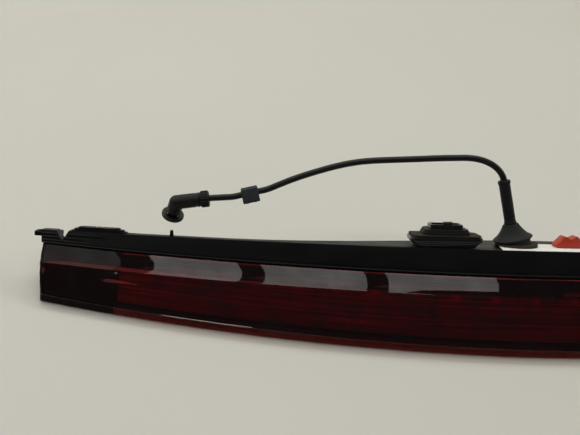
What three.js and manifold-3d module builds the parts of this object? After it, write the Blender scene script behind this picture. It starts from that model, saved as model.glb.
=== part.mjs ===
// High-mounted third brake light with a rear-window washer feed.
//
// The lamp is drawn with its mounting side level: +X runs along the lamp, +Y is depth (the lens
// face looks towards -Y) and +Z is up. All sizes are millimetres. The lamp is bowed: its ends
// lie behind its middle and its lens gets lower towards them, so sections drawn at the middle
// are extruded along X in steps and then moved by the function `bend`. The flat foot of the
// lens slopes up towards the back, and the whole lamp is tilted back until it lies on it.

import * as THREE from "three";
import { mergeVertices } from "three/addons/utils/BufferGeometryUtils.js";
import Module from "manifold-3d";

// ---- driving dimensions ---------------------------------------------------------------

const HALF_LENGTH = 408;        // middle of the lamp to the end of the housing
const BOW_SPAN = 400;           // the bow is stated at this distance from the middle
const BOW_STEPS = 24;           // straight facets along the whole bow
const BOW_DEPTH = 45;           // the ends lie this far behind the middle
const FLAT_SPAN = 34;           // half the straight stretch in the middle
const GAP = 0.3;                // running gap between neighbouring pieces

const LENS_TOP = 55.6;          // height of the lens rim
const RAIL_BOTTOM = 57.3;       // lower edge of the housing
const RAIL_TOP = 76;            // mounting side of the housing
const RIDGE = 7;                // height of the lip at the foot of the lens
const FOOT_FRONT = -17;         // front edge of the flat foot
const FOOT_BACK = 22;           // back edge of the flat foot
const FOOT_SLOPE = 0.5;         // rise of the foot per millimetre of depth
const LENS_WALL = 2.5;
const HOUSING_WALL = 2.6;

const END_DEPTH = 9;            // depth of the housing at its ends
const MIDDLE_DEPTH = 43;        // extra depth in the middle
const BULGE_SPAN = 260;         // the extra depth fades out at this distance

const LED_PITCH = 29.4;
const LEDS_PER_BOARD = 6;
const BOARD_COUNT = 4;
const LED_HEIGHT = 43;
const RIB_PITCH = 3.6;
const OPTIC_HALF_LENGTH = 342;  // half length of the lit zone
const OPTIC_STEPS = 20;

const HOSE_RADIUS = 2.5;
const HOSE_SIDES = 10;
const HOSE_STEPS = 50;
const ROUND_SIDES = 24;         // facets of most round pieces

const CONNECTOR_X = -94;
const CONNECTOR_Y = 15.2;
const GROMMET_FOOT = new THREE.Vector3(-38.2, 24, 81.2);
const GROMMET_LEAN = THREE.MathUtils.degToRad(12.6);
const CLIP_MIDDLE = new THREE.Vector3(-243.2, 35.2, 110.4);
const CLIP_AXIS = new THREE.Vector3(21.9, 0.9, 5.3).normalize();
const ELBOW_MOUTH = new THREE.Vector3(-281.6, 33.0, 104.6);
const ELBOW_DROP = THREE.MathUtils.degToRad(8.3);
const ELBOW_TURN = THREE.MathUtils.degToRad(-33);
const ELBOW_BEND = THREE.MathUtils.degToRad(67);
const ELBOW_RADIUS = 5.6;
const END_BOSS_X = 361;
const END_BOSS_TOP = 79.5;
const END_TAB_TOP = 73.8;
const END_TAB_THICKNESS = 3.6;
const END_HOLE_X = 411;
const END_HOLE_Y = 9;
const END_HOLE_RADIUS = 3.95;
const PEG_X = 303;
const VENT_X = 120;
const VENT_Y = 16;
const TRAY_SCREWS_X = [-190, -70, 70, 190];
const TRAY_SCREW_Y = 7.5;
const TRAY_TOP = 53;
const COLLAR_TOP = 84;
const NOZZLE_Z = 66;

// The origin is midway between the lens ridge and the end tabs, level with the tilted foot.
const TILT = Math.atan(FOOT_SLOPE);
const MIDDLE_DEPTH_LINE = 35.92;

// Centreline of the washer hose, from inside the housing to inside the elbow.
const HOSE_ROUTE = [
  [-35.8, 24.0, 70.5],
  [-38.2, 24.0, 81.2],
  [-41.2, 24.0, 94.6],
  [-45.2, 24.0, 112.6],
  [-48.3, 24.0, 126.5],
  [-49.7, 24.3, 130.2],
  [-52.4, 24.6, 134.0],
  [-56.0, 25.0, 137.1],
  [-61.0, 25.5, 139.8],
  [-67.2, 26.0, 141.8],
  [-76.3, 27.0, 142.8],
  [-85.3, 28.0, 142.5],
  [-98.9, 29.5, 141.8],
  [-112.9, 31.0, 140.8],
  [-127.7, 32.5, 139.8],
  [-141.1, 33.5, 138.9],
  [-152.3, 34.3, 137.9],
  [-162.5, 35.0, 136.4],
  [-176.9, 35.6, 133.1],
  [-189.2, 36.0, 129.4],
  [-198.4, 36.0, 126.4],
  [-212.3, 36.0, 121.2],
  [-220.0, 36.0, 117.9],
  [-230.57, 35.72, 113.46],
  [-236.89, 35.46, 111.93],
  [-243.2, 35.2, 110.4],
  [-249.51, 34.94, 108.87],
  [-255.83, 34.68, 107.34],
  [-264.0, 34.1, 106.6],
  [-274.0, 33.5, 105.8],
  [-281.6, 33.0, 104.6],
  [-285.5, 33.0, 104.0],
];

const COLOURS = {
  blackPlastic: { color: 0x0d0d0e, roughness: 0.45, metalness: 0 },
  matteBlack: { color: 0x151516, roughness: 0.7, metalness: 0 },
  smokedLens: { color: 0x2a0507, roughness: 0.06, metalness: 0, transparent: true, opacity: 0.45 },
  redOptic: { color: 0x4a0a0d, roughness: 0.2, metalness: 0 },
  darkBezel: { color: 0x140e0e, roughness: 0.35, metalness: 0 },
  reflector: { color: 0x8c8c90, roughness: 0.3, metalness: 0.4 },
  board: { color: 0x0f3a22, roughness: 0.5, metalness: 0 },
  whitePlastic: { color: 0xd8d6cc, roughness: 0.5, metalness: 0 },
  foam: { color: 0x3a342c, roughness: 0.95, metalness: 0 },
  rubber: { color: 0x131315, roughness: 0.8, metalness: 0 },
  hose: { color: 0x0b0b0c, roughness: 0.3, metalness: 0 },
  greyGreen: { color: 0x222824, roughness: 0.6, metalness: 0 },
  redClip: { color: 0xa3402c, roughness: 0.45, metalness: 0 },
  brass: { color: 0xb08d4a, roughness: 0.35, metalness: 1 },
  steel: { color: 0x9a9ca0, roughness: 0.35, metalness: 1 },
};

// ---- booleans -------------------------------------------------------------------------

const wasm = await Module();
wasm.setup();

/** Turns a three.js geometry into a solid that can be joined and cut. */
function solid(geometry) {
  const bare = geometry.clone();
  bare.deleteAttribute("normal");
  bare.deleteAttribute("uv");
  const merged = mergeVertices(bare, 1e-4);
  return new wasm.Manifold(new wasm.Mesh({
    numProp: 3,
    vertProperties: merged.attributes.position.array,
    triVerts: Uint32Array.from(merged.index.array),
  }));
}

/** Turns a solid back into a three.js geometry. */
function surface(body) {
  const mesh = body.getMesh();
  const geometry = new THREE.BufferGeometry();
  geometry.setAttribute("position", new THREE.BufferAttribute(mesh.vertProperties, 3));
  geometry.setIndex(new THREE.BufferAttribute(mesh.triVerts, 1));
  geometry.computeVertexNormals();
  return geometry;
}

const join = (first, ...rest) => surface(rest.reduce((sum, g) => sum.add(solid(g)), solid(first)));
const cut = (first, ...rest) => surface(rest.reduce((sum, g) => sum.subtract(solid(g)), solid(first)));
const common = (first, second) => surface(solid(first).intersect(solid(second)));

// ---- outlines and the bow -------------------------------------------------------------

/** Share of the full bow at a distance x from the middle. */
function bowShare(x) {
  const flat = (FLAT_SPAN / BOW_SPAN) ** 2;
  return Math.max(0, (x / BOW_SPAN) ** 2 - flat) / (1 - flat);
}

/** How far a point moves back at the place x along the lamp. */
const sag = (x) => BOW_DEPTH * bowShare(x);

/** How far a point drawn at depth y and height z rises at the place x along the lamp. */
function lift(x, y, z) {
  const foot = FOOT_SLOPE * THREE.MathUtils.clamp(y - FOOT_FRONT, 0, FOOT_BACK - FOOT_FRONT);
  const level = z < RAIL_BOTTOM ? ((z - foot) * RAIL_BOTTOM) / (RAIL_BOTTOM - foot) : z;
  const heights = [0, RIDGE, LED_HEIGHT, RAIL_BOTTOM, RAIL_TOP];
  const rises = [FOOT_SLOPE * BOW_DEPTH, FOOT_SLOPE * BOW_DEPTH, 9, 9, 0];
  const above = heights.findIndex((height) => height > level);
  const upper = above < 0 ? heights.length - 1 : Math.max(above, 1);
  const share = (level - heights[upper - 1]) / (heights[upper] - heights[upper - 1]);
  const clamped = THREE.MathUtils.clamp(share, 0, 1);
  return THREE.MathUtils.lerp(rises[upper - 1], rises[upper], clamped) * bowShare(x);
}

/** Bends a straight geometry to the bow of the lamp. */
function bend(geometry) {
  const position = geometry.attributes.position;
  for (let i = 0; i < position.count; i += 1) {
    const [x, y, z] = [position.getX(i), position.getY(i), position.getZ(i)];
    position.setXYZ(i, x, y + sag(x), z + lift(x, y, z));
  }
  geometry.computeVertexNormals();
  return geometry;
}

/** Back edge of the housing at the place x. */
function backEdge(x) {
  const fade = Math.cos(Math.PI * Math.min(Math.abs(x), BULGE_SPAN) / (2 * BULGE_SPAN));
  return END_DEPTH + MIDDLE_DEPTH * fade ** 2;
}

/** Moves each side of a closed anticlockwise outline inwards by one wall. */
function inset(points, wall) {
  const normal = ([x0, y0], [x1, y1]) => {
    const length = Math.hypot(x1 - x0, y1 - y0);
    return [(y0 - y1) / length, (x1 - x0) / length];
  };
  return points.map((point, i) => {
    const before = points[(i + points.length - 1) % points.length];
    const after = points[(i + 1) % points.length];
    const a = normal(before, point);
    const b = normal(point, after);
    const scale = wall / (1 + a[0] * b[0] + a[1] * b[1]);
    return [point[0] + (a[0] + b[0]) * scale, point[1] + (a[1] + b[1]) * scale];
  });
}

/** Plan outline whose back follows the bulge, anticlockwise from its front left corner. */
function planOutline(halfLength, front, backOffset, cornerCut) {
  const corner = 2;
  const side = [Math.min(front + cornerCut * 3, 0), backEdge(halfLength) - backOffset];
  const along = [];
  for (let i = 1; i < BOW_STEPS; i += 1) along.push(HALF_LENGTH * ((2 * i) / BOW_STEPS - 1));
  const inner = along.filter((x) => Math.abs(x) < halfLength - cornerCut - 1);
  const points = [
    [-halfLength + cornerCut, front],
    ...inner.map((x) => [x, front]),
    [halfLength - cornerCut, front],
    [halfLength, side[0]],
    [halfLength, side[1] - corner],
    [halfLength - corner, side[1]],
    ...inner.reverse().map((x) => [x, backEdge(x) - backOffset]),
    [-halfLength + corner, side[1]],
    [-halfLength, side[1] - corner],
    [-halfLength, side[0]],
  ];
  return points.map(([x, y]) => [x, y + sag(x)]);
}

const shapeOf = (points) => new THREE.Shape(points.map(([u, v]) => new THREE.Vector2(u, v)));

/** Upright plate with a plan outline. */
function plate(points, bottom, top) {
  const geometry = new THREE.ExtrudeGeometry(shapeOf(points), {
    depth: top - bottom,
    bevelEnabled: false,
  });
  return geometry.translate(0, 0, bottom);
}

/** Bar with a section drawn in Y and Z, run along X and bent to the bow. */
function bar(section, from, to, steps) {
  const geometry = new THREE.ExtrudeGeometry(shapeOf(section), {
    depth: to - from,
    steps,
    bevelEnabled: false,
  });
  const alongX = new THREE.Matrix4().makeBasis(
    new THREE.Vector3(0, 1, 0),
    new THREE.Vector3(0, 0, 1),
    new THREE.Vector3(1, 0, 0),
  );
  return bend(geometry.applyMatrix4(alongX).translate(from, 0, 0));
}

/** Box given by its low and high corners. */
function block(low, high) {
  const size = high.map((value, i) => value - low[i]);
  const middle = high.map((value, i) => (value + low[i]) / 2);
  return new THREE.BoxGeometry(...size).translate(...middle);
}

/** Upright cylinder or cone standing on a point. */
function post(x, y, bottom, top, radius, topRadius = radius, sides = ROUND_SIDES) {
  return new THREE.CylinderGeometry(topRadius, radius, top - bottom, sides)
    .rotateX(Math.PI / 2)
    .translate(x, y, (bottom + top) / 2);
}

/** Solid of revolution about +Z from a profile of radius and height pairs. */
function turned(profile, sides = ROUND_SIDES) {
  const points = profile.map(([radius, height]) => new THREE.Vector2(radius, height));
  return new THREE.LatheGeometry(points, sides).rotateX(Math.PI / 2);
}

/** Rounded rectangle, anticlockwise, centred on a point. */
function roundedRectangle(x, y, width, depth, radius, arcSteps = 4) {
  const points = [];
  const corners = [[1, 1], [-1, 1], [-1, -1], [1, -1]];
  corners.forEach(([sx, sy], quarter) => {
    for (let i = 0; i <= arcSteps; i += 1) {
      const angle = (quarter + i / arcSteps) * Math.PI / 2;
      points.push([
        x + sx * (width / 2 - radius) + radius * Math.cos(angle),
        y + sy * (depth / 2 - radius) + radius * Math.sin(angle),
      ]);
    }
  });
  return points;
}

/** Round tube or rod that follows a list of points. */
function tube(points, radius, steps, sides) {
  const curve = new THREE.CatmullRomCurve3(
    points.map((point) => new THREE.Vector3(...point)),
    false,
    "centripetal",
  );
  const corners = Array.from({ length: sides }, (_, i) => {
    const angle = (2 * Math.PI * i) / sides;
    return [radius * Math.cos(angle), radius * Math.sin(angle)];
  });
  return new THREE.ExtrudeGeometry(shapeOf(corners), { extrudePath: curve, steps });
}

// ---- assembly -------------------------------------------------------------------------

const lamp = new THREE.Group();
lamp.name = "third_brake_light";
lamp.rotation.x = -TILT;
lamp.position.set(0, -MIDDLE_DEPTH_LINE, FOOT_FRONT * Math.sin(TILT));

/** Adds an empty group to a parent. */
function addGroup(name, parent = lamp) {
  const group = new THREE.Group();
  group.name = name;
  parent.add(group);
  return group;
}

/** Adds one named piece to a group and returns its mesh, ready to be placed. */
function addPiece(group, name, geometry, colour) {
  const mesh = new THREE.Mesh(geometry, new THREE.MeshStandardMaterial(COLOURS[colour]));
  mesh.name = name;
  group.add(mesh);
  return mesh;
}

const shell = addGroup("shell");
const optics = addGroup("optics");
const connector = addGroup("connector");
const washer = addGroup("washer");

// Front of the lens from its rim down to its foot, as depth and height.
const LENS_FRONT = [
  [-2.8, LENS_TOP],
  [-8.2, 50],
  [-13, 43],
  [-17.4, 30],
  [-20.4, 17],
  [-22, RIDGE],
  [-20.6, 3],
  [FOOT_FRONT, 0],
];
// Back of the lens from its foot up to its rim.
const LENS_BACK = [
  [FOOT_BACK, FOOT_SLOPE * (FOOT_BACK - FOOT_FRONT)],
  [38, 31],
  [47, 42],
  [54, LENS_TOP],
];

/** Depth of the lens face at a height. */
function faceDepth(z) {
  const i = LENS_FRONT.findIndex(([, height]) => height <= z);
  const [upperY, upperZ] = LENS_FRONT[Math.max(i - 1, 0)];
  const [lowerY, lowerZ] = LENS_FRONT[Math.max(i, 1)];
  return THREE.MathUtils.mapLinear(z, lowerZ, upperZ, lowerY, upperY);
}

function buildLens() {
  const section = [...LENS_FRONT, ...LENS_BACK];
  const plan = planOutline(HALF_LENGTH - 2, -24, 0.8, 6);
  const outer = common(
    bar(section, -HALF_LENGTH, HALF_LENGTH, BOW_STEPS),
    plate(plan, -5, 90),
  );
  const open = section.map(([y, z]) => [y, z === LENS_TOP ? LENS_TOP + 3 * LENS_WALL : z]);
  const inner = common(
    bar(inset(open, LENS_WALL), -HALF_LENGTH, HALF_LENGTH, BOW_STEPS),
    plate(inset(plan, LENS_WALL), -5, 99),
  );
  addPiece(shell, "outer_lens", cut(outer, inner), "smokedLens");
}

function buildSealBead() {
  const low = LENS_TOP + GAP;
  const high = RAIL_BOTTOM - GAP;
  const section = [[-30, low], [70, low], [70, high], [-30, high]];
  const edge = planOutline(HALF_LENGTH - 3, -2, 1.4, 1);
  const ring = cut(plate(edge, 40, 99), plate(inset(edge, 1.5), 39, 100));
  const slab = bar(section, -HALF_LENGTH, HALF_LENGTH, BOW_STEPS);
  addPiece(shell, "lens_seal_bead", common(slab, ring), "rubber");
}

/** Stepped rail with its hollow, before bosses, pegs and holes. */
function housingShell() {
  const railFace = [
    [0, RAIL_TOP],
    [0, 72.4],
    [-0.9, 71.8],
    [-0.9, 67.2],
    [-1.7, 66.6],
    [-1.7, 62.4],
    [-2.5, 61.8],
    [-2.5, RAIL_BOTTOM],
  ];
  const section = [...railFace, [70, RAIL_BOTTOM], [70, RAIL_TOP]];
  const outer = common(
    bar(section, -HALF_LENGTH, HALF_LENGTH, BOW_STEPS),
    plate(planOutline(HALF_LENGTH, -3, 0, 2), 40, 99),
  );
  const inside = [
    [HOUSING_WALL, RAIL_TOP - HOUSING_WALL],
    [HOUSING_WALL - 1, RAIL_BOTTOM - 3],
    [70, RAIL_BOTTOM - 3],
    [70, RAIL_TOP - HOUSING_WALL],
  ];
  const pocket = common(
    bar(inside, -HALF_LENGTH, HALF_LENGTH, BOW_STEPS),
    plate(inset(planOutline(HALF_LENGTH - 26, -3, 0, 6), HOUSING_WALL), 40, 99),
  );
  return cut(outer, pocket);
}

/** Mounting boss, end tab and locator peg of one end, and the notch and holes cut in it. */
function endFittings(side) {
  const across = (near, far) => [side * near, side * far].sort((a, b) => a - b);
  const boss = across(END_BOSS_X - 20.5, END_BOSS_X + 20.5);
  const tab = across(394, 418);
  const bossSection = [[0.8, 72], [END_DEPTH, 72], [END_DEPTH, END_BOSS_TOP], [0.8, END_BOSS_TOP]];
  const tabFoot = END_TAB_TOP - END_TAB_THICKNESS;
  const tabBlock = block([-12, -6, tabFoot], [12, 6, END_TAB_TOP])
    .translate(side * (tab[0] + tab[1]) * side / 2, END_HOLE_Y + sag(END_HOLE_X), 0);
  const notch = plate([[-6, 12], [0, 0], [6, 12]], -20, 20)
    .rotateX(Math.PI / 2)
    .translate(side * 390.5, 5 + sag(390.5), 68.6);
  const holeY = END_HOLE_Y + sag(END_HOLE_X);
  return {
    added: [
      bar(bossSection, ...boss, 2),
      tabBlock,
      post(side * PEG_X, 5 + sag(PEG_X), 72, 80.6, 1.7, 1.2, 12),
    ],
    removed: [
      notch,
      post(side * END_BOSS_X, 5 + sag(END_BOSS_X), 73, 90, 3.3),
      post(side * END_HOLE_X, holeY, 60, 90, END_HOLE_RADIUS),
    ],
  };
}

function buildHousing() {
  const added = [];
  const removed = [];
  for (const side of [-1, 1]) {
    const fittings = endFittings(side);
    added.push(...fittings.added);
    removed.push(...fittings.removed);
  }
  for (const x of TRAY_SCREWS_X) {
    const y = TRAY_SCREW_Y + sag(x);
    const foot = TRAY_TOP + lift(x, TRAY_SCREW_Y, TRAY_TOP) + 0.6;
    added.push(post(x, y, foot, RAIL_TOP - 1, 3.2, 3.2, 16));
    removed.push(post(x, y, 50, foot + 8.4, 1.3, 1.3, 12));
  }
  const cableWay = plate(roundedRectangle(CONNECTOR_X, CONNECTOR_Y, 20, 8, 1.5), 70, 80);
  const hoseWay = post(GROMMET_FOOT.x + 0.7, GROMMET_FOOT.y, 70, 80, 6.2);
  const ventWay = post(VENT_X, VENT_Y + sag(VENT_X), 70, 80, 2.4, 2.4, 16);
  const jetWay = new THREE.CylinderGeometry(5.4, 5.4, 20, ROUND_SIDES).translate(0, 50, NOZZLE_Z);
  removed.push(cableWay, hoseWay, ventWay, jetWay);
  addPiece(shell, "rear_housing", cut(join(housingShell(), ...added), ...removed), "blackPlastic");
}

function buildVent() {
  const stem = turned([[0, -4], [1.9, -4], [1.9, 1], [0, 1]], 16);
  const hat = turned([[0, 0], [7, 0], [7, 2], [5.6, 3.4], [0, 3.4]]);
  const cap = addPiece(shell, "vent_cap", join(hat, stem), "matteBlack");
  cap.position.set(VENT_X, VENT_Y + sag(VENT_X), RAIL_TOP + GAP);
}

function buildOptic() {
  const top = 47;
  const ribs = Math.floor((top - RIDGE - 4) / RIB_PITCH);
  const clearance = LENS_WALL + 1.9;
  const section = [];
  for (let i = 0; i < ribs; i += 1) {
    const z = top - i * RIB_PITCH;
    const tip = z - RIB_PITCH * 0.75;
    section.push([faceDepth(z) + clearance + 0.9, z]);
    section.push([faceDepth(tip) + clearance, tip]);
  }
  const foot = top - ribs * RIB_PITCH;
  for (const z of [foot, 17, 30, LED_HEIGHT, top]) {
    section.push([faceDepth(z) + clearance + 2.6, z]);
  }
  const plateOfRibs = bar(section, -OPTIC_HALF_LENGTH, OPTIC_HALF_LENGTH, OPTIC_STEPS);
  addPiece(optics, "inner_lens", plateOfRibs, "redOptic");
}

function buildTray() {
  const wall = [
    [-14, 7],
    [1.8, 15],
    [1.8, TRAY_TOP],
    [-0.6, TRAY_TOP],
    [-0.6, TRAY_TOP - 1.6],
    [0.2, TRAY_TOP - 1.6],
    [0.2, 16],
    [-14, 9],
  ];
  const ears = [];
  const holes = [];
  TRAY_SCREWS_X.forEach((x, i) => {
    const top = TRAY_TOP + lift(x, TRAY_SCREW_Y, TRAY_TOP);
    const y = sag(x);
    ears.push(block([x - 6, 1 + y, top - 1.8], [x + 6, 12.5 + y, top]));
    holes.push(post(x, TRAY_SCREW_Y + y, top - 5, top + 5, 1.7, 1.7, 12));
    const profile = [[0, -1.8], [2.8, -1.8], [2.8, 0], [1, 0], [1, 9], [0, 9]];
    const screw = addPiece(optics, `tray_screw_${i + 1}`, turned(profile, 12), "steel");
    screw.position.set(x, TRAY_SCREW_Y + y, top - 1.8 - GAP);
  });
  const rail = bar(wall, -OPTIC_HALF_LENGTH, OPTIC_HALF_LENGTH, OPTIC_STEPS);
  addPiece(optics, "reflector_tray", cut(join(rail, ...ears), ...holes), "reflector");
}

function buildBoards() {
  const length = LED_PITCH * LEDS_PER_BOARD;
  const start = -length * BOARD_COUNT / 2;
  const strip = [[-1.7, 36], [-0.1, 36], [-0.1, 50], [-1.7, 50]];
  for (let b = 0; b < BOARD_COUNT; b += 1) {
    const from = start + b * length;
    const leds = [];
    for (let i = 0; i < LEDS_PER_BOARD; i += 1) {
      const x = from + (i + 0.5) * LED_PITCH;
      const y = sag(x);
      const z = LED_HEIGHT + lift(x, 0, LED_HEIGHT);
      leds.push(block([x - 2.6, y - 3.2, z - 2.6], [x + 2.6, y - 1.2, z + 2.6]));
      leds.push(new THREE.SphereGeometry(1.7, 8, 6).translate(x, y - 3.2, z));
    }
    const board = bar(strip, from + 1, from + length - 1, 5);
    addPiece(optics, `led_board_${b + 1}`, join(board, ...leds), "board");
    if (b > 0) {
      const link = new THREE.BoxGeometry(12, 1.6, 5.2);
      const place = addPiece(optics, `board_link_${b}`, link, "whitePlastic");
      place.position.set(from, sag(from) - 3, LED_HEIGHT - 1 + lift(from, 0, LED_HEIGHT));
      place.rotation.z = Math.atan((2 * BOW_DEPTH * from) / BOW_SPAN ** 2);
    }
  }
}

function buildBezels() {
  const clearance = LENS_WALL + 0.8;
  const heights = [50, LED_HEIGHT, 30, 17, 9];
  const front = heights.map((z) => [faceDepth(z) + clearance, z]);
  const back = heights.map((z) => [faceDepth(z) + clearance + 2.2, z]);
  const section = [...front, ...back.reverse()];
  const near = OPTIC_HALF_LENGTH + 1;
  const far = HALF_LENGTH - 14;
  addPiece(optics, "end_bezel_left", bar(section, -far, -near, 4), "darkBezel");
  addPiece(optics, "end_bezel_right", bar(section, near, far, 4), "darkBezel");
}

function buildEndHardware() {
  const profile = [[1.7, 0], [3, 0], [3, 6.2], [1.7, 6.2], [1.7, 0]];
  for (const [side, word] of [[-1, "left"], [1, "right"]]) {
    const bush = addPiece(shell, `mounting_bush_${word}`, turned(profile), "brass");
    bush.position.set(side * END_BOSS_X, 5 + sag(END_BOSS_X), 73.3);
  }
}

function buildConnector() {
  connector.position.set(CONNECTOR_X, CONNECTOR_Y, 0);
  const base = RAIL_TOP + GAP;
  const layer = (width, depth, radius, bottom, top) =>
    plate(roundedRectangle(0, 0, width, depth, radius), bottom, top);

  const flange = layer(54.6, 24, 5, base + 2.6, COLLAR_TOP);
  const foot = layer(46, 21, 5, base, base + 3);
  const collar = cut(join(flange, foot), layer(26.4, 15.4, 3, 60, 99));
  addPiece(connector, "connector_collar", collar, "blackPlastic");

  const sealTop = COLLAR_TOP + 2.6;
  const seal = cut(
    layer(52.6, 22.6, 5, COLLAR_TOP + GAP, sealTop),
    layer(27.4, 16.2, 3, 60, 99),
  );
  addPiece(connector, "connector_foam_seal", seal, "foam");

  const bootBottom = sealTop + GAP;
  const cushion = new THREE.ExtrudeGeometry(shapeOf(roundedRectangle(0, 0, 31, 16.5, 6)), {
    depth: 1.4,
    bevelSize: 2.6,
    bevelThickness: 1.8,
    bevelSegments: 2,
  }).translate(0, 0, bootBottom);
  const boot = cut(
    cushion,
    layer(25.7, 14.7, 3, 60, 99),
    block([-4.4, -10, 60], [4.4, 0, 99]),
    layer(60, 40, 2, 60, bootBottom),
  );
  addPiece(connector, "connector_boot", boot, "rubber");

  const pins = [-5, 5];
  const slots = pins.map((x) => block([x - 2.3, -0.7, 60], [x + 2.3, 0.7, 99]));
  const top = COLLAR_TOP + 9;
  const cavity = layer(21, 10, 1.6, COLLAR_TOP - 3, 99);
  const shroud = cut(layer(25, 14, 2.6, base, top), cavity, ...slots);
  addPiece(connector, "connector_shroud", shroud, "matteBlack");
  pins.forEach((x, i) => {
    const blade = block([x - 2, -0.4, base + 0.2], [x + 2, 0.4, COLLAR_TOP + 2]);
    addPiece(connector, `terminal_${i + 1}`, blade, "brass");
  });

  const hook = [
    [-1.8, top - 5.4],
    [0, top - 5.4],
    [0, top + 0.4],
    [0.9, top + 1.2],
    [0.9, top + 2.4],
    [-1.8, top + 0.9],
  ];
  const lock = new THREE.ExtrudeGeometry(shapeOf(hook), { depth: 7, bevelEnabled: false });
  lock.rotateX(Math.PI / 2).rotateZ(Math.PI / 2).translate(-3.5, -7 - GAP, 0);
  addPiece(connector, "connector_lock", lock, "matteBlack");

  pins.forEach((x, i) => {
    const route = [
      [x, 0, 76.0],
      [x, 0, 70],
      [x + 3, -3, 62],
      [x + 5, -6, 55],
      [x + 6, -8, 48],
    ];
    addPiece(connector, `supply_lead_${i + 1}`, tube(route, 0.9, 8, 8), "redClip");
  });
}

function buildRetainer() {
  const outline = [
    [-9, 0],
    [15, 0],
    [15, 2.3],
    [8, 8.7],
    [3, 6.7],
    [-2, 8.7],
    [-9, 2.3],
  ];
  const clip = plate(outline, -5, 5).rotateX(Math.PI / 2);
  const mesh = addPiece(shell, "centre_retainer", clip, "redClip");
  mesh.position.set(0, 21, RAIL_TOP + GAP);
}

function buildGrommet() {
  const leaning = addGroup("leaning_grommet", washer);
  leaning.position.copy(GROMMET_FOOT);
  leaning.rotation.y = -GROMMET_LEAN;
  const bore = HOSE_RADIUS + 0.5;
  const cone = turned([
    [bore, 0],
    [15, 0],
    [15, 1.4],
    [10.4, 5.4],
    [7.4, 9.2],
    [5.6, 12],
    [bore, 12],
    [bore, 0],
  ]);
  addPiece(leaning, "hose_grommet", cone, "greyGreen");

  const sleeve = turned([
    [bore, 12.3],
    [4.7, 12.3],
    [4.3, 16],
    [4.2, 43.4],
    [4.7, 44.2],
    [4.7, 46.2],
    [bore, 46.6],
    [bore, 12.3],
  ], 20);
  addPiece(leaning, "grommet_sleeve", sleeve, "rubber");

  const padFoot = RAIL_TOP + GAP;
  const above = post(0, 0, -GAP, 30, 40)
    .rotateY(-GROMMET_LEAN)
    .translate(...GROMMET_FOOT.toArray());
  const pad = cut(
    post(GROMMET_FOOT.x + 2, GROMMET_FOOT.y, padFoot, 90, 16),
    above,
    post(GROMMET_FOOT.x + 1, GROMMET_FOOT.y, 60, 99, 6.4),
  );
  addPiece(washer, "grommet_foam_pad", pad, "foam");
}

function buildHose() {
  addPiece(washer, "washer_hose", tube(HOSE_ROUTE, HOSE_RADIUS, HOSE_STEPS, HOSE_SIDES), "hose");
  const ring = cut(
    block([-6.6, -5.2, -7.2], [6.6, 5.2, 4.2]),
    post(0, 0, -9, 9, HOSE_RADIUS + 0.5).rotateY(Math.PI / 2),
  );
  const clip = addPiece(washer, "hose_clip", ring, "greyGreen");
  clip.position.copy(CLIP_MIDDLE);
  clip.quaternion.setFromUnitVectors(new THREE.Vector3(1, 0, 0), CLIP_AXIS);
}

function buildElbow() {
  // Local +Z runs along the hose towards the corner, and the outlet bends away towards -Y.
  const elbow = addGroup("elbow", washer);
  const towards = new THREE.Vector3(-Math.cos(ELBOW_DROP), 0, -Math.sin(ELBOW_DROP));
  const side = new THREE.Vector3(
    Math.cos(ELBOW_TURN) * Math.sin(ELBOW_DROP),
    -Math.sin(ELBOW_TURN),
    -Math.cos(ELBOW_TURN) * Math.cos(ELBOW_DROP),
  );
  const back = side.clone().negate();
  const sideways = new THREE.Vector3().crossVectors(back, towards);
  const frame = new THREE.Matrix4().makeBasis(sideways, back, towards);
  elbow.position.copy(ELBOW_MOUTH);
  elbow.quaternion.setFromRotationMatrix(frame);

  const bore = HOSE_RADIUS + 0.4;
  const collar = turned([[bore, -7], [6.4, -7], [6.4, -GAP], [bore, -GAP], [bore, -7]]);
  addPiece(elbow, "elbow_collar", collar, "matteBlack");

  const corner = 18.5;
  const outwards = (geometry) => geometry.rotateX(ELBOW_BEND).translate(0, 0, corner);
  const barrel = turned([[0, 0], [ELBOW_RADIUS, 0], [ELBOW_RADIUS, corner], [0, corner]]);
  const knuckle = new THREE.SphereGeometry(ELBOW_RADIUS, ROUND_SIDES, 12).rotateX(Math.PI / 2);
  const neck = turned([[0, 0], [5.7, 0], [5.7, 9], [4, 9], [4, 15.4], [0, 15.4]]);
  const socket = turned([[0, -1], [bore, -1], [bore, 4], [0, 4]], 16);
  const waterway = turned([[0, 6], [1.8, 6], [1.8, 20], [0, 20]], 12);
  const body = cut(
    join(barrel, knuckle.translate(0, 0, corner), outwards(neck)),
    socket,
    outwards(waterway),
  );
  addPiece(elbow, "elbow_body", body, "matteBlack");

  const ring = turned([[4.4, 11.4], [8.7, 11.4], [8.7, 14], [4.4, 14], [4.4, 11.4]]);
  addPiece(elbow, "release_ring", outwards(ring), "matteBlack");
}

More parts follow.
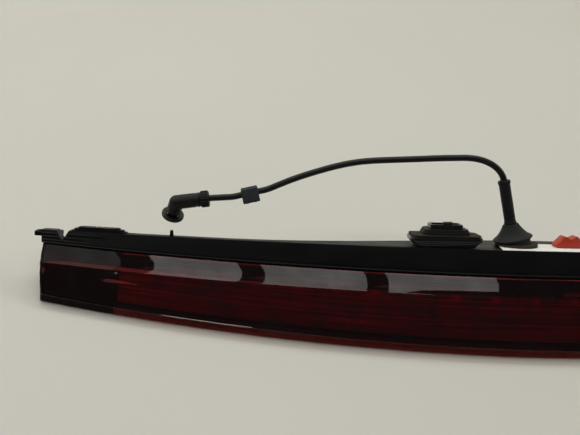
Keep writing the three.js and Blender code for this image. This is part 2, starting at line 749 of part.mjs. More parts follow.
function buildNozzle() {
  const profile = [
    [0, 0],
    [3.4, 0],
    [3.4, 4],
    [5, 5],
    [5, 15],
    [3.4, 16],
    [3.4, 20],
    [0, 20],
  ];
  const valve = addPiece(washer, "check_valve", turned(profile, 20), "whitePlastic");
  valve.position.set(-36.9, 24, 50);

  const feed = [
    [-36.9, 24, 49.6],
    [-36.9, 24, 44],
    [-31, 26, 37.5],
    [-20, 32, 38],
    [-8, 38, 44],
    [-1, 41, 51],
    [0, 42, 57.5],
  ];
  addPiece(washer, "feed_tube", tube(feed, 2, 16, 8), "hose");

  const nozzle = addGroup("nozzle", washer);
  nozzle.position.set(0, 47.6, NOZZLE_Z);
  const backwards = (geometry) => geometry.rotateX(-Math.PI / 2);
  const block_ = block([-9, -10.2, -8], [9, 0.4, 6]);
  const snout = backwards(turned([[0, 0], [5, 0], [5, 8.5], [0, 8.5]]));
  const socket = backwards(turned([[0, 1.8], [3.9, 1.8], [3.9, 20], [0, 20]]));
  addPiece(nozzle, "nozzle_body", cut(join(block_, snout), socket), "blackPlastic");

  const jet = backwards(turned([[0, -9], [0.5, -9], [0.5, 9], [0, 9]], 8));
  const ball = addPiece(nozzle, "jet_ball", cut(new THREE.SphereGeometry(3.5, 16, 10), jet), "brass");
  ball.position.y = 5.6;

  const cap = turned([[3.2, 8.8], [6.6, 8.8], [6.6, 10.2], [5.6, 11], [3.2, 11], [3.2, 8.8]]);
  addPiece(nozzle, "nozzle_cap", backwards(cap), "matteBlack");
}

buildLens();
buildSealBead();
buildHousing();
buildVent();
buildOptic();
buildTray();
buildBoards();
buildBezels();
buildEndHardware();
buildConnector();
buildRetainer();
buildGrommet();
buildHose();
buildElbow();
buildNozzle();

export default lamp;
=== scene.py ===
"""Visual model of a bowed third brake light with a rear-window washer feed.

Every piece is drawn with the mounting side of the lamp level: +X runs along the lamp, +Y is depth
and +Z is up, all in metres. Sections are drawn at the middle of the lamp and moved towards its
ends by `Bow`. `STANCE` then tilts the finished piece back until the lens lies on its flat foot.
"""

from __future__ import annotations

import logging
import math
from dataclasses import dataclass
from enum import Enum
from typing import Callable, Iterable, Sequence

import bmesh
import bpy
from mathutils import Matrix, Vector


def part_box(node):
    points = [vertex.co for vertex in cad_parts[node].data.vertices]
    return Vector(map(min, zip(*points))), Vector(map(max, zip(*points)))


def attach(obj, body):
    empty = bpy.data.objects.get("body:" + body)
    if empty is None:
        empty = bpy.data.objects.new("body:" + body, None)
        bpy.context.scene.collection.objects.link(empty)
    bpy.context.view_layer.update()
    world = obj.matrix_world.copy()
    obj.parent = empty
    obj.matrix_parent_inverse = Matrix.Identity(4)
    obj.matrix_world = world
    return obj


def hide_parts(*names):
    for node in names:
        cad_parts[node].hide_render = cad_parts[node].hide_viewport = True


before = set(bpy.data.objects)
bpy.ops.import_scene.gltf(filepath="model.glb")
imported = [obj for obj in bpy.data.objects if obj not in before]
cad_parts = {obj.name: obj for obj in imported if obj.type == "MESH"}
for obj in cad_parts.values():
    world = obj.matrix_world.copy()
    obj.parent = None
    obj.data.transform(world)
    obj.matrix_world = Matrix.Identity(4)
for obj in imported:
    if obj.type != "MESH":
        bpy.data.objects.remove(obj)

LOG = logging.getLogger("third_brake_light")
MM = 0.001

Pair = tuple[float, float]
Colour = tuple[float, float, float]


class Side(Enum):
    """The two ends of the lamp."""

    LEFT = -1
    RIGHT = 1


class Body(Enum):
    """The rigid bodies that pieces ride on."""

    LAMP = "lamp"
    LOCK = "lock"
    CLIP = "clip"
    ELBOW = "elbow"
    RING = "ring"


# ---- materials --------------------------------------------------------------------------


class Graph:
    """A node tree that is built link by link."""

    def __init__(self, name: str) -> None:
        """Starts an empty material of that name."""
        self.material = bpy.data.materials.new(name)
        self.material.use_nodes = True
        self.nodes = self.material.node_tree.nodes
        self.nodes.clear()
        self.output = self.nodes.new("ShaderNodeOutputMaterial")

    def add(self, kind: str, sockets: dict[str, object] | None = None, **settings: object):
        """Adds a node.

        Args:
            kind: The node's type name without its ShaderNode prefix.
            sockets: Values or output sockets for the node's inputs, by input name.
            settings: Attributes of the node itself.

        Returns:
            The new node.
        """
        node = self.nodes.new("ShaderNode" + kind)
        for key, value in settings.items():
            setattr(node, key, value)
        for key, value in (sockets or {}).items():
            self.set(node, key, value)
        return node

    def set(self, node: bpy.types.Node, key: str | int, value: object) -> None:
        """Gives one input a value or links an output to it."""
        if isinstance(value, bpy.types.NodeSocket):
            self.material.node_tree.links.new(value, node.inputs[key])
        else:
            node.inputs[key].default_value = value

    def place(self) -> bpy.types.NodeSocket:
        """Gives the object coordinates."""
        return self.add("TexCoord").outputs["Object"]

    def scaled(self, scale: Sequence[float]) -> bpy.types.NodeSocket:
        """Gives the object coordinates stretched by a scale along each axis."""
        mapping = self.add("Mapping", {"Vector": self.place(), "Scale": tuple(scale)})
        return mapping.outputs["Vector"]

    def noise(self, scale: float, detail: float = 3.0, vector: object = None):
        """Gives the value of a noise texture on object coordinates."""
        sockets = {"Vector": vector or self.place(), "Scale": scale, "Detail": detail}
        return self.add("TexNoise", sockets).outputs["Fac"]

    def ramp(self, factor: object, low: float, high: float, start: float, end: float):
        """Maps a factor that runs from low to high onto start to end."""
        sockets = {
            "Value": factor,
            "From Min": low,
            "From Max": high,
            "To Min": start,
            "To Max": end,
        }
        return self.add("MapRange", sockets).outputs["Result"]

    def blend(self, factor: object, first: Colour, second: Colour) -> bpy.types.NodeSocket:
        """Mixes two colours by a factor."""
        node = self.add("Mix", data_type="RGBA")
        self.set(node, 0, factor)
        self.set(node, 6, (*first, 1.0) if isinstance(first, tuple) else first)
        self.set(node, 7, (*second, 1.0) if isinstance(second, tuple) else second)
        return node.outputs[2]

    def bump(self, height: object, distance: float, strength: float = 1.0, normal: object = None):
        """Turns a height into a bumped normal."""
        sockets = {"Height": height, "Distance": distance, "Strength": strength}
        if normal is not None:
            sockets["Normal"] = normal
        return self.add("Bump", sockets).outputs["Normal"]

    def math(self, operation: str, first: object, second: object = 0.0):
        """Combines two values."""
        return self.add("Math", {0: first, 1: second}, operation=operation).outputs[0]

    def finish(self, shader: bpy.types.Node) -> bpy.types.Material:
        """Links the last shader and gives the material."""
        self.set(self.output, "Surface", shader.outputs[0])
        return self.material


@dataclass(frozen=True)
class MouldedPlastic:
    """Injection-moulded plastic or rubber with a fine grain, dust and handling marks."""

    name: str
    colour: Colour
    roughness: float = 0.4
    grain: float = 1800.0
    depth: float = 0.00004
    dust: float = 0.25
    gloss: float = 0.5
    metal: float = 0.0

    def build(self) -> bpy.types.Material:
        """Makes the material."""
        graph = Graph(self.name)
        dusty = tuple(min(1.0, c * 1.6 + 0.008) for c in self.colour)
        patches = graph.ramp(graph.noise(38.0, 5.0), 0.35, 0.75, 0.0, self.dust)
        streaks = graph.noise(14.0, 4.0, graph.scaled((2.0, 9.0, 9.0)))
        rough = graph.ramp(streaks, 0.3, 0.7, self.roughness * 0.82, self.roughness * 1.2)
        grain = graph.bump(graph.noise(self.grain, 2.0), self.depth, 0.6)
        waves = graph.bump(graph.noise(45.0, 1.0), self.depth * 3.0, 0.35, grain)
        sockets = {
            "Base Color": graph.blend(patches, self.colour, dusty),
            "Roughness": rough,
            "Normal": waves,
            "Metallic": self.metal,
            "Specular IOR Level": self.gloss,
        }
        return graph.finish(graph.add("BsdfPrincipled", sockets))


@dataclass(frozen=True)
class SmokedLens:
    """Clear smoked red acrylic that tints what is behind it and mirrors the lamps above."""

    name: str
    tint: Colour
    body: Colour
    haze: float
    gloss: float

    def build(self) -> bpy.types.Material:
        """Makes the material."""
        graph = Graph(self.name)
        deep = tuple(c * 0.86 for c in self.tint)
        tint = graph.blend(graph.noise(70.0, 3.0, graph.scaled((0.4, 2.0, 2.0))), self.tint, deep)
        clear = graph.add("BsdfTransparent", {"Color": tint})
        swirls = graph.noise(26.0, 4.0, graph.scaled((0.6, 2.0, 2.0)))
        ripple = graph.bump(graph.noise(9.0, 1.0), 0.0003, 0.06)
        sockets = {
            "Base Color": (*self.body, 1.0),
            "Roughness": graph.ramp(swirls, 0.3, 0.8, 0.008, 0.03),
            "Normal": ripple,
            "Specular IOR Level": self.gloss,
        }
        skin = graph.add("BsdfPrincipled", sockets)
        share = graph.ramp(graph.noise(60.0, 5.0), 0.45, 0.8, self.haze * 0.8, self.haze * 1.2)
        mix = graph.add("MixShader")
        graph.set(mix, 0, share)
        graph.set(mix, 1, clear.outputs[0])
        graph.set(mix, 2, skin.outputs[0])
        return graph.finish(mix)


@dataclass(frozen=True)
class RibbedOptic:
    """Deep red optic with fine streaks along it, a paler spot at each light pipe that is a painted highlight,
    and painted shade over its upper part.
    """

    name: str
    colour: Colour
    # Bright red of the streaks; it also colours the painted highlights at the light pipes.
    streak_and_highlight_red: Colour
    pitch: float
    rise: float = 0.10
    tilt: float = math.atan(0.5)

    def build(self) -> bpy.types.Material:
        """Makes the material."""
        graph = Graph(self.name)
        axes = graph.add("SeparateXYZ", {"Vector": graph.place()}).outputs
        along = axes["X"]
        depth = graph.math("MULTIPLY", axes["Y"], math.sin(self.tilt))
        height = graph.math("ADD", depth, graph.math("MULTIPLY", axes["Z"], math.cos(self.tilt)))
        bow = graph.math("MULTIPLY", graph.math("MULTIPLY", along, along), self.rise)
        level = graph.math("SUBTRACT", height, bow)
        streaks = graph.add("CombineXYZ", {
            "X": graph.math("MULTIPLY", along, 0.012),
            "Y": level,
        }).outputs[0]
        fine = graph.ramp(graph.noise(620.0, 3.0, streaks), 0.35, 0.72, 0.0, 1.0)
        broad = graph.ramp(graph.noise(130.0, 2.0, streaks), 0.3, 0.7, 0.15, 1.0)
        phase = graph.math("MULTIPLY", along, math.pi / self.pitch)
        wave = graph.math("POWER", graph.math("ABSOLUTE", graph.math("COSINE", phase)), 10.0)
        # Painted highlight: a paler spot at each light pipe, in a band of heights.
        painted_pipe_highlights = graph.math("MULTIPLY", wave, graph.ramp(level, 0.0125, 0.0165, 0.0, 0.6))
        # Painted shade: above this level the colour goes near black, hiding the light that falls on the
        # optic's top.
        below_painted_shade = graph.ramp(level, 0.0180, 0.0200, 1.0, 0.0)
        tone = graph.math("MAXIMUM", graph.math("MULTIPLY", fine, broad), painted_pipe_highlights)
        dark = tuple(c * 0.28 for c in self.colour)
        red = graph.blend(tone, dark, self.streak_and_highlight_red)
        sockets = {
            "Base Color": graph.blend(below_painted_shade, (0.002, 0.001, 0.001), red),
            "Roughness": graph.ramp(graph.noise(700.0, 2.0), 0.3, 0.7, 0.32, 0.5),
            "Specular IOR Level": 0.1,
            "Normal": graph.bump(fine, 0.00008, 0.5),
        }
        return graph.finish(graph.add("BsdfPrincipled", sockets))


@dataclass(frozen=True)
class Foam:
    """Closed-cell foam with open pores on its cut faces, darkened in the pores as painted shade."""

    name: str
    colour: Colour
    pore: float = 900.0

    def build(self) -> bpy.types.Material:
        """Makes the material."""
        graph = Graph(self.name)
        pores = graph.add("TexVoronoi", {"Vector": graph.place(), "Scale": self.pore})
        # Painted shade: the colour goes towards the dark tone in each pore, as shade in its hollow.
        shade = graph.ramp(pores.outputs["Distance"], 0.0, 0.7, 0.0, 1.0)
        dark = tuple(c * 0.35 for c in self.colour)
        mottle = graph.blend(graph.ramp(graph.noise(90.0, 4.0), 0.3, 0.7, 0.0, 0.5), self.colour, dark)
        tone = graph.add("Mix", data_type="RGBA")
        graph.set(tone, 0, shade)
        graph.set(tone, 6, (*dark, 1.0))
        graph.set(tone, 7, mottle)
        sockets = {
            "Base Color": tone.outputs[2],
            "Roughness": 0.95,
            "Normal": graph.bump(pores.outputs["Distance"], 0.0003, 0.8),
            "Specular IOR Level": 0.2,
        }
        return graph.finish(graph.add("BsdfPrincipled", sockets))


@dataclass(frozen=True)
class TurnedMetal:
    """Lathe-turned or plated metal with faint tool rings."""

    name: str
    colour: Colour
    roughness: float = 0.3

    def build(self) -> bpy.types.Material:
        """Makes the material."""
        graph = Graph(self.name)
        rings = graph.noise(2600.0, 1.0, graph.scaled((0.3, 0.3, 1.0)))
        dull = tuple(c * 0.7 for c in self.colour)
        sockets = {
            "Base Color": graph.blend(graph.noise(300.0, 3.0), self.colour, dull),
            "Metallic": 1.0,
            "Roughness": graph.ramp(rings, 0.3, 0.7, self.roughness * 0.7, self.roughness * 1.4),
            "Normal": graph.bump(rings, 0.00002, 0.5),
        }
        return graph.finish(graph.add("BsdfPrincipled", sockets))


@dataclass(frozen=True)
class CircuitBoard:
    """Solder mask with faint copper tracks under it."""

    name: str
    colour: Colour

    def build(self) -> bpy.types.Material:
        """Makes the material."""
        graph = Graph(self.name)
        brick = graph.add("TexBrick", {"Vector": graph.scaled((90.0, 90.0, 90.0))})
        graph.set(brick, "Color1", (*self.colour, 1.0))
        graph.set(brick, "Color2", (*(c * 1.5 for c in self.colour), 1.0))
        graph.set(brick, "Mortar", (*(c * 0.6 for c in self.colour), 1.0))
        sockets = {
            "Base Color": brick.outputs["Color"],
            "Roughness": graph.ramp(graph.noise(200.0, 3.0), 0.3, 0.7, 0.35, 0.5),
            "Normal": graph.bump(brick.outputs["Fac"], 0.00003, 0.5),
        }
        return graph.finish(graph.add("BsdfPrincipled", sockets))


@dataclass(frozen=True)
class Paper:
    """Coated white label paper with soft wrinkles."""

    name: str
    colour: Colour

    def build(self) -> bpy.types.Material:
        """Makes the material."""
        graph = Graph(self.name)
        stain = graph.ramp(graph.noise(50.0, 5.0), 0.45, 0.85, 0.0, 0.5)
        yellowed = (self.colour[0] * 0.9, self.colour[1] * 0.86, self.colour[2] * 0.74)
        wrinkle = graph.bump(graph.noise(120.0, 3.0), 0.0002, 0.5)
        sockets = {
            "Base Color": graph.blend(stain, self.colour, yellowed),
            "Roughness": 0.6,
            "Normal": wrinkle,
        }
        return graph.finish(graph.add("BsdfPrincipled", sockets))


@dataclass(frozen=True)
class TableTop:
    """Pale matt table and backdrop."""

    name: str
    colour: Colour

    def build(self) -> bpy.types.Material:
        """Makes the material."""
        graph = Graph(self.name)
        shade = tuple(c * 0.93 for c in self.colour)
        sockets = {
            "Base Color": graph.blend(graph.noise(3.0, 4.0), self.colour, shade),
            "Roughness": 0.55,
            "Normal": graph.bump(graph.noise(500.0, 2.0), 0.0001, 0.2),
        }
        return graph.finish(graph.add("BsdfPrincipled", sockets))


BLACK_PLASTIC = MouldedPlastic("black_plastic", (0.0030, 0.0030, 0.0031), 0.42, 1500.0, 0.00002, 0.10, 0.12)
MATTE_BLACK = MouldedPlastic("matte_black", (0.0045, 0.0045, 0.0044), 0.44, 2200.0, 0.00004, 0.20, 0.26)
BOSS_PLASTIC = MouldedPlastic("boss_plastic", (0.004, 0.005, 0.005), 0.16, 1400.0, 0.00002, 0.2, 0.5)
RUBBER = MouldedPlastic("rubber", (0.0050, 0.0044, 0.0056), 0.55, 1300.0, 0.00006, 0.25, 0.25)
HOSE_RUBBER = MouldedPlastic("hose_rubber", (0.0036, 0.0036, 0.0038), 0.34, 1600.0, 0.00003, 0.16, 0.3)
GREY_RUBBER = MouldedPlastic("grey_green_rubber", (0.012, 0.014, 0.011), 0.62, 1100.0, 0.00006, 0.4, 0.2)
CLIP_PLASTIC = MouldedPlastic("clip_plastic", (0.022, 0.031, 0.034), 0.5, 1500.0, 0.00005, 0.4, 0.3)
RED_PLASTIC = MouldedPlastic("red_plastic", (0.44, 0.040, 0.020), 0.42, 1700.0, 0.00004, 0.2, 0.3)
WHITE_PLASTIC = MouldedPlastic("white_plastic", (0.72, 0.70, 0.64), 0.45, 1700.0, 0.00003, 0.1)
# Dark end-bezel plastic; the lens rim band also wears it as painted shade.
DARK_BEZEL_AND_RIM_SHADE = MouldedPlastic("dark_bezel", (0.010, 0.004, 0.004), 0.50, 1500.0, 0.00003, 0.10, 0.05)
# Painted shade: the reflector tray is coloured near black so that the band between the optic and the lens
# ridge stays dark.
TRAY_PAINTED_SHADE = MouldedPlastic("tray_plastic", (0.010, 0.010, 0.011), 0.35, 1500.0, 0.00003, 0.2, 0.3)
BRASS = TurnedMetal("brass", (0.62, 0.44, 0.18), 0.32)
STEEL = TurnedMetal("steel", (0.52, 0.52, 0.54), 0.34)
FOAM = Foam("foam", (0.060, 0.050, 0.036))
LENS = SmokedLens("smoked_lens", (1.0, 0.40, 0.40), (0.003, 0.001, 0.001), 0.5, 1.0)
# Painted glow: the skirt's red body colour stands in for the light that passes through the lens foot.
SKIRT_PAINTED_GLOW = SmokedLens("skirt_painted_glow", (0.90, 0.34, 0.30), (0.12, 0.013, 0.011), 0.6, 0.12)
OPTIC = RibbedOptic("red_optic", (0.62, 0.020, 0.020), (1.0, 0.07, 0.06), 29.4 * MM)
BOARD = CircuitBoard("circuit_board", (0.02, 0.10, 0.05))
PAPER = Paper("label_paper", (0.80, 0.80, 0.75))
TABLE = TableTop("table_top", (0.60, 0.59, 0.53))


class Finishes:
    """Builds each finish once and hands it out."""

    def __init__(self) -> None:
        """Starts with no material made."""
        self._made: dict[str, bpy.types.Material] = {}

    def get(self, finish) -> bpy.types.Material:
        """Gives the material of a finish, making it on first use."""
        if finish.name not in self._made:
            self._made[finish.name] = finish.build()
        return self._made[finish.name]


FINISHES = Finishes()


# ---- the shape of the lamp --------------------------------------------------------------

@dataclass(frozen=True)
class Bow:
    """The curve of the lamp: how far back and up its sections move along its length."""

    span: float = 400 * MM
    flat: float = 34 * MM
    depth: float = 45 * MM
    levels: tuple[float, ...] = (0.0, 7 * MM, 43 * MM, 57.3 * MM, 76 * MM)
    rises: tuple[float, ...] = (22.5 * MM, 22.5 * MM, 9 * MM, 9 * MM, 0.0)
    foot_front: float = -17 * MM
    foot_back: float = 22 * MM
    foot_slope: float = 0.5
    rail_foot: float = 57.3 * MM
    end_depth: float = 9 * MM
    middle_depth: float = 43 * MM
    bulge_span: float = 260 * MM

    def share(self, x: float) -> float:
        """Gives the share of the full bow at a distance from the middle."""
        flat = (self.flat / self.span) ** 2
        return max(0.0, (x / self.span) ** 2 - flat) / (1.0 - flat)

    def sag(self, x: float) -> float:
        """Gives how far a point moves back at the place x."""
        return self.depth * self.share(x)

    def slope(self, x: float) -> float:
        """Gives the angle of the lamp's line in plan at the place x."""
        return math.atan(2 * self.depth * x / self.span**2)

    def foot(self, y: float) -> float:
        """Gives the height of the lens foot at a depth."""
        return self.foot_slope * (min(max(y, self.foot_front), self.foot_back) - self.foot_front)

    def lift(self, x: float, y: float, z: float) -> float:
        """Gives how far a point drawn at depth y and height z rises at the place x."""
        foot = self.foot(y)
        level = (z - foot) * self.rail_foot / (self.rail_foot - foot) if z < self.rail_foot else z
        level = min(max(level, self.levels[0]), self.levels[-1])
        upper = next(i for i, height in enumerate(self.levels) if i and level <= height)
        low, high = self.levels[upper - 1], self.levels[upper]
        part = (level - low) / (high - low)
        return (self.rises[upper - 1] * (1 - part) + self.rises[upper] * part) * self.share(x)

    def back(self, x: float) -> float:
        """Gives the depth of the housing's back edge at the place x, before the bow."""
        fade = math.cos(math.pi * min(abs(x), self.bulge_span) / (2 * self.bulge_span))
        return self.end_depth + self.middle_depth * fade**2


BOW = Bow()


def stance() -> Matrix:
    """Gives the matrix that tilts the drawn lamp back onto its foot."""
    tilt = Matrix.Rotation(-math.atan(BOW.foot_slope), 4, "X")
    ridge = tilt @ Vector((0, -22 * MM, 7 * MM))
    toe = tilt @ Vector((0, BOW.foot_front, 0))
    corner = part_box("outer_lens")[0]
    return Matrix.Translation((0, corner.y - ridge.y, corner.z - toe.z)) @ tilt


STANCE = stance()

# Front of the lens as depth and height: a flat upper facet down to a crease, then a curved face.
UPPER_FACET = [(-2.8, 55.6), (-13.0, 43.0)]
LOWER_FACE = [(-13.0, 43.0), (-17.4, 30.0), (-20.4, 17.0), (-22.0, 7.6)]


def in_metres(points: Iterable[Pair]) -> list[Pair]:
    """Turns depth and height pairs in millimetres into metres."""
    return [(y * MM, z * MM) for y, z in points]


def smooth_chain(points: Sequence[Pair], steps: int) -> list[Pair]:
    """Puts a smooth curve through a chain of points.

    Args:
        points: The points that the curve passes.
        steps: How many pieces each stretch is divided into.

    Returns:
        The points of the curve, both ends included.
    """
    ends = [points[0], *points, points[-1]]
    chain: list[Pair] = []
    for a, b, c, d in zip(ends, ends[1:], ends[2:], ends[3:]):
        for i in range(steps):
            t = i / steps
            weights = (
                -0.5 * t**3 + t**2 - 0.5 * t,
                1.5 * t**3 - 2.5 * t**2 + 1.0,
                -1.5 * t**3 + 2.0 * t**2 + 0.5 * t,
                0.5 * t**3 - 0.5 * t**2,
            )
            chain.append(tuple(sum(w * p[k] for w, p in zip(weights, (a, b, c, d))) for k in (0, 1)))
    chain.append(points[-1])
    return chain


def face_depth(z: float) -> float:
    """Gives the depth of the lens face at a height."""
    chain = in_metres(UPPER_FACET[:1]) + smooth_chain(in_metres(LOWER_FACE), 6)
    for (upper_y, upper_z), (lower_y, lower_z) in zip(chain, chain[1:]):
        if z >= lower_z:
            part = (z - lower_z) / (upper_z - lower_z)
            return lower_y + (upper_y - lower_y) * part
    return chain[-1][0]


def rounded(points: Sequence[Pair], radius: float, steps: int = 4) -> list[Pair]:
    """Rounds the corners of a closed outline.

    Args:
        points: The corners of the outline.
        radius: The largest radius of a corner.
        steps: How many chords each arc has.

    Returns:
        The rounded outline.
    """
    outline: list[Pair] = []
    count = len(points)
    for i, corner in enumerate(points):
        here = Vector(corner)
        before = Vector(points[i - 1]) - here
        after = Vector(points[(i + 1) % count]) - here
        reach = min(radius, before.length * 0.45, after.length * 0.45)
        start = here + before.normalized() * reach
        end = here + after.normalized() * reach
        for k in range(steps + 1):
            t = k / steps
            point = start * (1 - t) ** 2 + here * 2 * t * (1 - t) + end * t**2
            outline.append((point.x, point.y))
    return outline


def rectangle(width: float, depth: float) -> list[Pair]:
    """Gives the corners of a rectangle about the origin."""
    return [
        (-width / 2, -depth / 2), (width / 2, -depth / 2), (width / 2, depth / 2),
        (-width / 2, depth / 2),
    ]


# ---- mesh tools -------------------------------------------------------------------------


def move(bm: bmesh.types.BMesh, offset: Sequence[float]) -> bmesh.types.BMesh:
    """Moves a whole mesh."""
    bmesh.ops.translate(bm, verts=bm.verts, vec=Vector(offset))
    return bm


def turn(bm: bmesh.types.BMesh, angle: float, axis: str) -> bmesh.types.BMesh:
    """Turns a whole mesh about an axis through the origin."""
    bmesh.ops.rotate(bm, verts=bm.verts, cent=(0, 0, 0), matrix=Matrix.Rotation(angle, 3, axis))
    return bm


def transformed(bm: bmesh.types.BMesh, matrix: Matrix) -> bmesh.types.BMesh:
    """Applies a matrix to a whole mesh."""
    bmesh.ops.transform(bm, matrix=matrix, verts=bm.verts)
    return bm


def absorb(bm: bmesh.types.BMesh, *others: bmesh.types.BMesh) -> bmesh.types.BMesh:
    """Adds other meshes to a mesh as further parts of it."""
    for other in others:
        scratch = bpy.data.meshes.new("scratch")
        other.to_mesh(scratch)
        other.free()
        bm.from_mesh(scratch)
        bpy.data.meshes.remove(scratch)
    return bm


def soften(bm: bmesh.types.BMesh, width: float, segments: int = 2, angle: float = 30.0) -> None:
    """Rounds every edge that is sharper than an angle.

    Args:
        bm: The mesh to round.
        width: The width of the rounding.
        segments: How many strips it has.
        angle: The smallest angle between faces that counts as an edge, in degrees.
    """
    limit = math.radians(angle)
    edges = [e for e in bm.edges if e.is_manifold and e.calc_face_angle(0.0) > limit]
    bmesh.ops.bevel(
        bm,
        geom=edges,
        offset=width,
        offset_type="OFFSET",
        segments=segments,
        profile=0.5,
        affect="EDGES",
        clamp_overlap=True,
        material=-1,
    )


def slab(outline: Sequence[Pair], bottom: float, top: float, edge: float = 0.0):
    """Makes an upright prism with softened edges.

    Args:
        outline: The plan of the prism, in order.
        bottom: The height of its lower face.
        top: The height of its upper face.
        edge: The width of the rounding of its edges.

    Returns:
        The mesh.
    """
    bm = bmesh.new()
    face = bm.faces.new([bm.verts.new((x, y, bottom)) for x, y in outline])
    grown = bmesh.ops.extrude_face_region(bm, geom=[face])
    raised = [item for item in grown["geom"] if isinstance(item, bmesh.types.BMVert)]
    bmesh.ops.translate(bm, verts=raised, vec=(0, 0, top - bottom))
    bmesh.ops.recalc_face_normals(bm, faces=bm.faces)
    if edge:
        soften(bm, edge)
    return bm


def hollow_slab(outer: Sequence[Pair], inner: Sequence[Pair], bottom: float, top: float, edge: float):
    """Makes an upright ring between two outlines that have the same number of points."""
    bm = bmesh.new()
    loops = []
    for outline in (outer, inner):
        verts = [bm.verts.new((x, y, bottom)) for x, y in outline]
        loops.append([bm.edges.new(pair) for pair in zip(verts, verts[1:] + verts[:1])])
    bmesh.ops.bridge_loops(bm, edges=loops[0] + loops[1])
    grown = bmesh.ops.extrude_face_region(bm, geom=list(bm.faces))
    raised = [item for item in grown["geom"] if isinstance(item, bmesh.types.BMVert)]
    bmesh.ops.translate(bm, verts=raised, vec=(0, 0, top - bottom))
    bmesh.ops.recalc_face_normals(bm, faces=bm.faces)
    soften(bm, edge)
    return bm


def lathe(profile: Sequence[Pair], steps: int = 48) -> bmesh.types.BMesh:
    """Spins a profile of radius and height pairs a full turn about +Z."""
    bm = bmesh.new()
    verts = [bm.verts.new((radius, 0, height)) for radius, height in profile]
    edges = [bm.edges.new(pair) for pair in zip(verts, verts[1:])]
    bmesh.ops.spin(
        bm,
        geom=verts + edges,
        cent=(0, 0, 0),
        axis=(0, 0, 1),
        angle=2 * math.pi,
        steps=steps,
        use_merge=True,
    )
    bmesh.ops.remove_doubles(bm, verts=bm.verts, dist=1e-7)
    bmesh.ops.recalc_face_normals(bm, faces=bm.faces)
    return bm


def ring_profile(points: Sequence[Pair], edge: float) -> list[Pair]:
    """Rounds a closed profile and closes it on its first point."""
    outline = rounded(points, edge, 3)
    return [*outline, outline[0]]


def sweep(
    section: Sequence[Pair],
    stations: Sequence[float],
    closed: bool,
    place: Callable[[float, float, float], Vector],
) -> bmesh.types.BMesh:
    """Draws a section along X and lets every point find its place.

    Args:
        section: Depth and height pairs.
        stations: The places along X that get a copy of the section.
        closed: Whether the section is a closed loop with capped ends.
        place: Gives the final position of a drawn point.

    Returns:
        The mesh.
    """
    bm = bmesh.new()
    verts = [bm.verts.new((stations[0], y, z)) for y, z in section]
    pairs = list(zip(verts, verts[1:]))
    if closed:
        pairs.append((verts[-1], verts[0]))
    row = [bm.edges.new(pair) for pair in pairs]
    first = list(row)
    for here, there in zip(stations, stations[1:]):
        grown = bmesh.ops.extrude_edge_only(bm, edges=row)["geom"]
        fresh = [item for item in grown if isinstance(item, bmesh.types.BMVert)]
        bmesh.ops.translate(bm, verts=fresh, vec=(there - here, 0, 0))
        edges = [item for item in grown if isinstance(item, bmesh.types.BMEdge)]
        row = [e for e in edges if e.verts[0] in fresh and e.verts[1] in fresh]
    if closed:
        bmesh.ops.contextual_create(bm, geom=first)
        bmesh.ops.contextual_create(bm, geom=row)
    for vert in bm.verts:
        vert.co = place(*vert.co)
    bmesh.ops.recalc_face_normals(bm, faces=bm.faces)
    return bm


def evenly(start: float, end: float, step: float) -> list[float]:
    """Divides a stretch into equal parts no longer than a step."""
    count = max(1, math.ceil((end - start) / step))
    return [start + (end - start) * i / count for i in range(count + 1)]


def close_ends(bm: bmesh.types.BMesh, half_length: float) -> None:
    """Closes both ends of a trough."""
    for side in Side:
        end = side.value * half_length
        rim = [
            e for e in bm.edges if e.is_boundary and all(abs(v.co.x - end) < 1e-5 for v in e.verts)
        ]
        bmesh.ops.contextual_create(bm, geom=rim)


def bowed(x: float, y: float, z: float) -> Vector:
    """Moves a drawn point to its place on the bow."""
    return Vector((x, y + BOW.sag(x), z + BOW.lift(x, y, z)))


@dataclass
class Piece:
    """A finished piece: its mesh, its finish, and what it rides on and stands for."""

    name: str
    bm: bmesh.types.BMesh
    finish: object
    body: Body = Body.LAMP
    stands_for: tuple[str, ...] = ()
    slot: str = ""
    smooth: float = 35.0
    extra: tuple[object, ...] = ()

    def place(self) -> bpy.types.Object:
        """Links the piece to the scene, rides it on its body and hides the parts that it replaces.

        Returns:
            The new object.
        """
        mesh = bpy.data.meshes.new(self.name)
        transformed(self.bm, STANCE).to_mesh(mesh)
        self.bm.free()
        for finish in (self.finish, *self.extra):
            mesh.materials.append(FINISHES.get(finish))
        mesh.shade_smooth()
        mesh.set_sharp_from_angle(angle=math.radians(self.smooth))
        piece = bpy.data.objects.new(self.name, mesh)
        bpy.context.scene.collection.objects.link(piece)
        register(piece, self.body, self.stands_for, self.slot)
        return piece


def register(piece: bpy.types.Object, body: Body, stands_for: Sequence[str], slot: str) -> None:
    """Rides a piece on a body, hides the parts that it replaces and reports it."""
    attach(piece, body.value)
    if stands_for:
        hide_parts(*stands_for)
    LOG.info("made %s, riding on %s", piece.name, body.value)


# ---- studio -----------------------------------------------------------------------------


